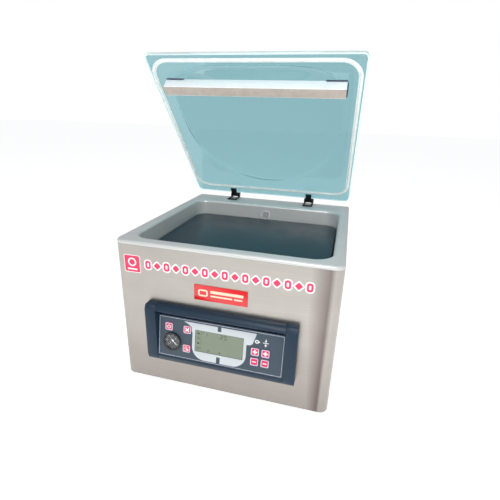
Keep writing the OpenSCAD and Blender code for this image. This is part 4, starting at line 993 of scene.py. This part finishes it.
def make_rating_label():
    """A plain type plate: a rim, a bar and rows of short dashes instead of words."""
    x, y, w, h = RATING_X, RATING_Y, RATING_WIDTH, RATING_HEIGHT
    stamp("rating_plate", [soft_rect(x, y, w, h, 2.5)], REAR, RATING_SHEET, "base", "label",
          0.0, RATING_ROUNDING)
    marks = soft_frame(x, y, w - 4, h - 4, 1.5, 0.5) + [soft_rect(x - 14, y + 14, 36, 6, 0.6)]
    for row, lengths in enumerate(RATING_DASHES):
        for k, length in enumerate(lengths):
            marks.append(soft_rect(x - 24 + 22 * k, y + 5 - 6.2 * row, length * 0.8, 1.5, 0.3))
    stamp("rating_marks", marks, REAR, INK, "base", "ink", RATING_SHEET)


def make_grille_slot_shade():
    """Painted shade for the dark gaps between the suction grille's slats, which run from upper left to lower
    right: a dark sheet on the grille's face.
    """
    low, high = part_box("suction_grille")
    place = frame_matrix((0, high.y, (low.z + high.z) / 2), (1, 0, 0), (0, 0, 1), (0, -1, 0))
    radius = (high.x - low.x) / 2 / MM - GRILLE_RIM
    diagonal = math.sqrt(0.5)
    gaps = []
    for k in range(SLAT_GAPS):
        offset = 2 * (k - SLAT_GAPS // 2) * SLAT_WIDTH
        half = math.sqrt(radius ** 2 - (abs(offset) + SLAT_WIDTH / 2) ** 2) - SLAT_CLEARANCE
        middle, reach = offset * diagonal, half * diagonal
        gaps.append(bar(middle + reach, middle - reach, middle - reach, middle + reach,
                        SLAT_WIDTH - SLAT_CLEARANCE))
    stamp("grille_gaps", gaps, place, GAP_DEPTH, "base", "painted_shade", GAP_LIFT)


make_grille_slot_shade()
make_screw_slot_shade()
make_inlet_pins()
make_rating_label()


# ---- Stage, light and camera ----

FLOOR_HALF = 14.0
FLOOR_GLOW = 0.56
WORLD_STRENGTH = 0.5
BELOW, ABOVE = (0.7, 0.7, 0.7, 1), (0.96, 0.98, 1.0, 1)
PURE_WHITE = (1, 1, 1, 1)
CAMERA_PLACE = (0.225, -0.88555, 0.6327)
CAMERA_YAW, CAMERA_PITCH, CAMERA_ROLL = math.radians(-14.33), math.radians(20.78), math.radians(1.82)
LENS, SENSOR_WIDTH = 26.22, 36
CLIP_START = 0.02


def make_floor():
    """A wide sheet of white paper that glows enough to look white in the picture."""
    size = FLOOR_HALF
    mesh = mesh_from("floor", [(-size, -size, 0), (size, -size, 0), (size, size, 0), (-size, size, 0)],
                     [(0, 1, 2, 3)])
    look = Look("floor_paper", srgb(247, 247, 247), 0.85, Emission_Color=PURE_WHITE,
                Emission_Strength=FLOOR_GLOW)
    look.set("Base Color", look.mixed(look.noise(6.0), srgb(245, 245, 245), srgb(250, 250, 250)))
    mesh.materials.append(look.material)
    floor = bpy.data.objects.new("floor", mesh)
    scene.collection.objects.link(floor)


def make_world():
    """White where the camera sees it, also through the lid, and a softer gradient for what it lights."""
    world = bpy.data.worlds.new("studio")
    scene.world = world
    world.use_nodes = True
    nodes = Nodes(world.node_tree)
    direction = nodes.node("ShaderNodeTexCoord").outputs["Generated"]
    height = nodes.node("ShaderNodeSeparateXYZ", {0: direction}).outputs["Z"]
    gradient = nodes.node("ShaderNodeValToRGB", {"Fac": height})
    for element, place, colour in zip(gradient.color_ramp.elements, (0.0, 1.0), (BELOW, ABOVE)):
        element.position = place
        element.color = colour
    lighting = nodes.tree.nodes["Background"]
    nodes.feed(lighting.inputs["Color"], gradient.outputs["Color"])
    nodes.feed(lighting.inputs["Strength"], WORLD_STRENGTH)
    seen = nodes.node("ShaderNodeBackground", {"Color": PURE_WHITE})
    path = nodes.node("ShaderNodeLightPath").outputs
    seen_ray = nodes.math("MAXIMUM", path["Is Camera Ray"], path["Is Transmission Ray"])
    mix = nodes.node("ShaderNodeMixShader", {0: seen_ray, 1: lighting.outputs[0], 2: seen.outputs[0]})
    nodes.feed(nodes.tree.nodes["World Output"].inputs["Surface"], mix.outputs[0])


def add_softbox(name, place, target, size, power, colour=(1, 1, 1)):
    """A rectangular lamp that faces a target."""
    light = bpy.data.lights.new(name, "AREA")
    light.shape = "RECTANGLE"
    light.size, light.size_y = size
    light.energy = power
    light.color = colour
    made = bpy.data.objects.new(name, light)
    scene.collection.objects.link(made)
    made.location = place
    made.rotation_mode = "QUATERNION"
    made.rotation_quaternion = (Vector(target) - Vector(place)).to_track_quat("-Z", "Y")


def make_camera():
    """The photograph's camera, as solved from the machine's edges."""
    yaw, pitch, roll = CAMERA_YAW, CAMERA_PITCH, CAMERA_ROLL
    forward = Vector((math.sin(yaw) * math.cos(pitch), math.cos(yaw) * math.cos(pitch), -math.sin(pitch)))
    level = Vector((math.cos(yaw), -math.sin(yaw), 0))
    upright = level.cross(forward)
    right = math.cos(roll) * level + math.sin(roll) * upright
    up = -math.sin(roll) * level + math.cos(roll) * upright
    data = bpy.data.cameras.new("camera")
    data.lens = LENS
    data.sensor_width = SENSOR_WIDTH
    data.clip_start = CLIP_START
    camera = bpy.data.objects.new("camera", data)
    camera.matrix_world = frame_matrix(CAMERA_PLACE, right, up, -forward)
    scene.collection.objects.link(camera)
    scene.camera = camera


make_floor()
make_world()
add_softbox("key", (-0.6, -2.3, 1.9), (0, 0, 0.35), size=(1.4, 1.0), power=10)
add_softbox("flash", (0.2, -0.98, 0.86), (0, 0.1, 0.33), size=(0.4, 0.3), power=4)
add_softbox("top", (0.3, 0.4, 2.6), (0, 0, 0.3), size=(2.2, 1.6), power=10, colour=(0.96, 0.98, 1.0))
add_softbox("fill", (2.0, -1.2, 1.1), (0, 0, 0.3), size=(1.0, 1.4), power=3, colour=(1.0, 0.93, 0.9))
make_camera()
scene.view_settings.view_transform = "Standard"
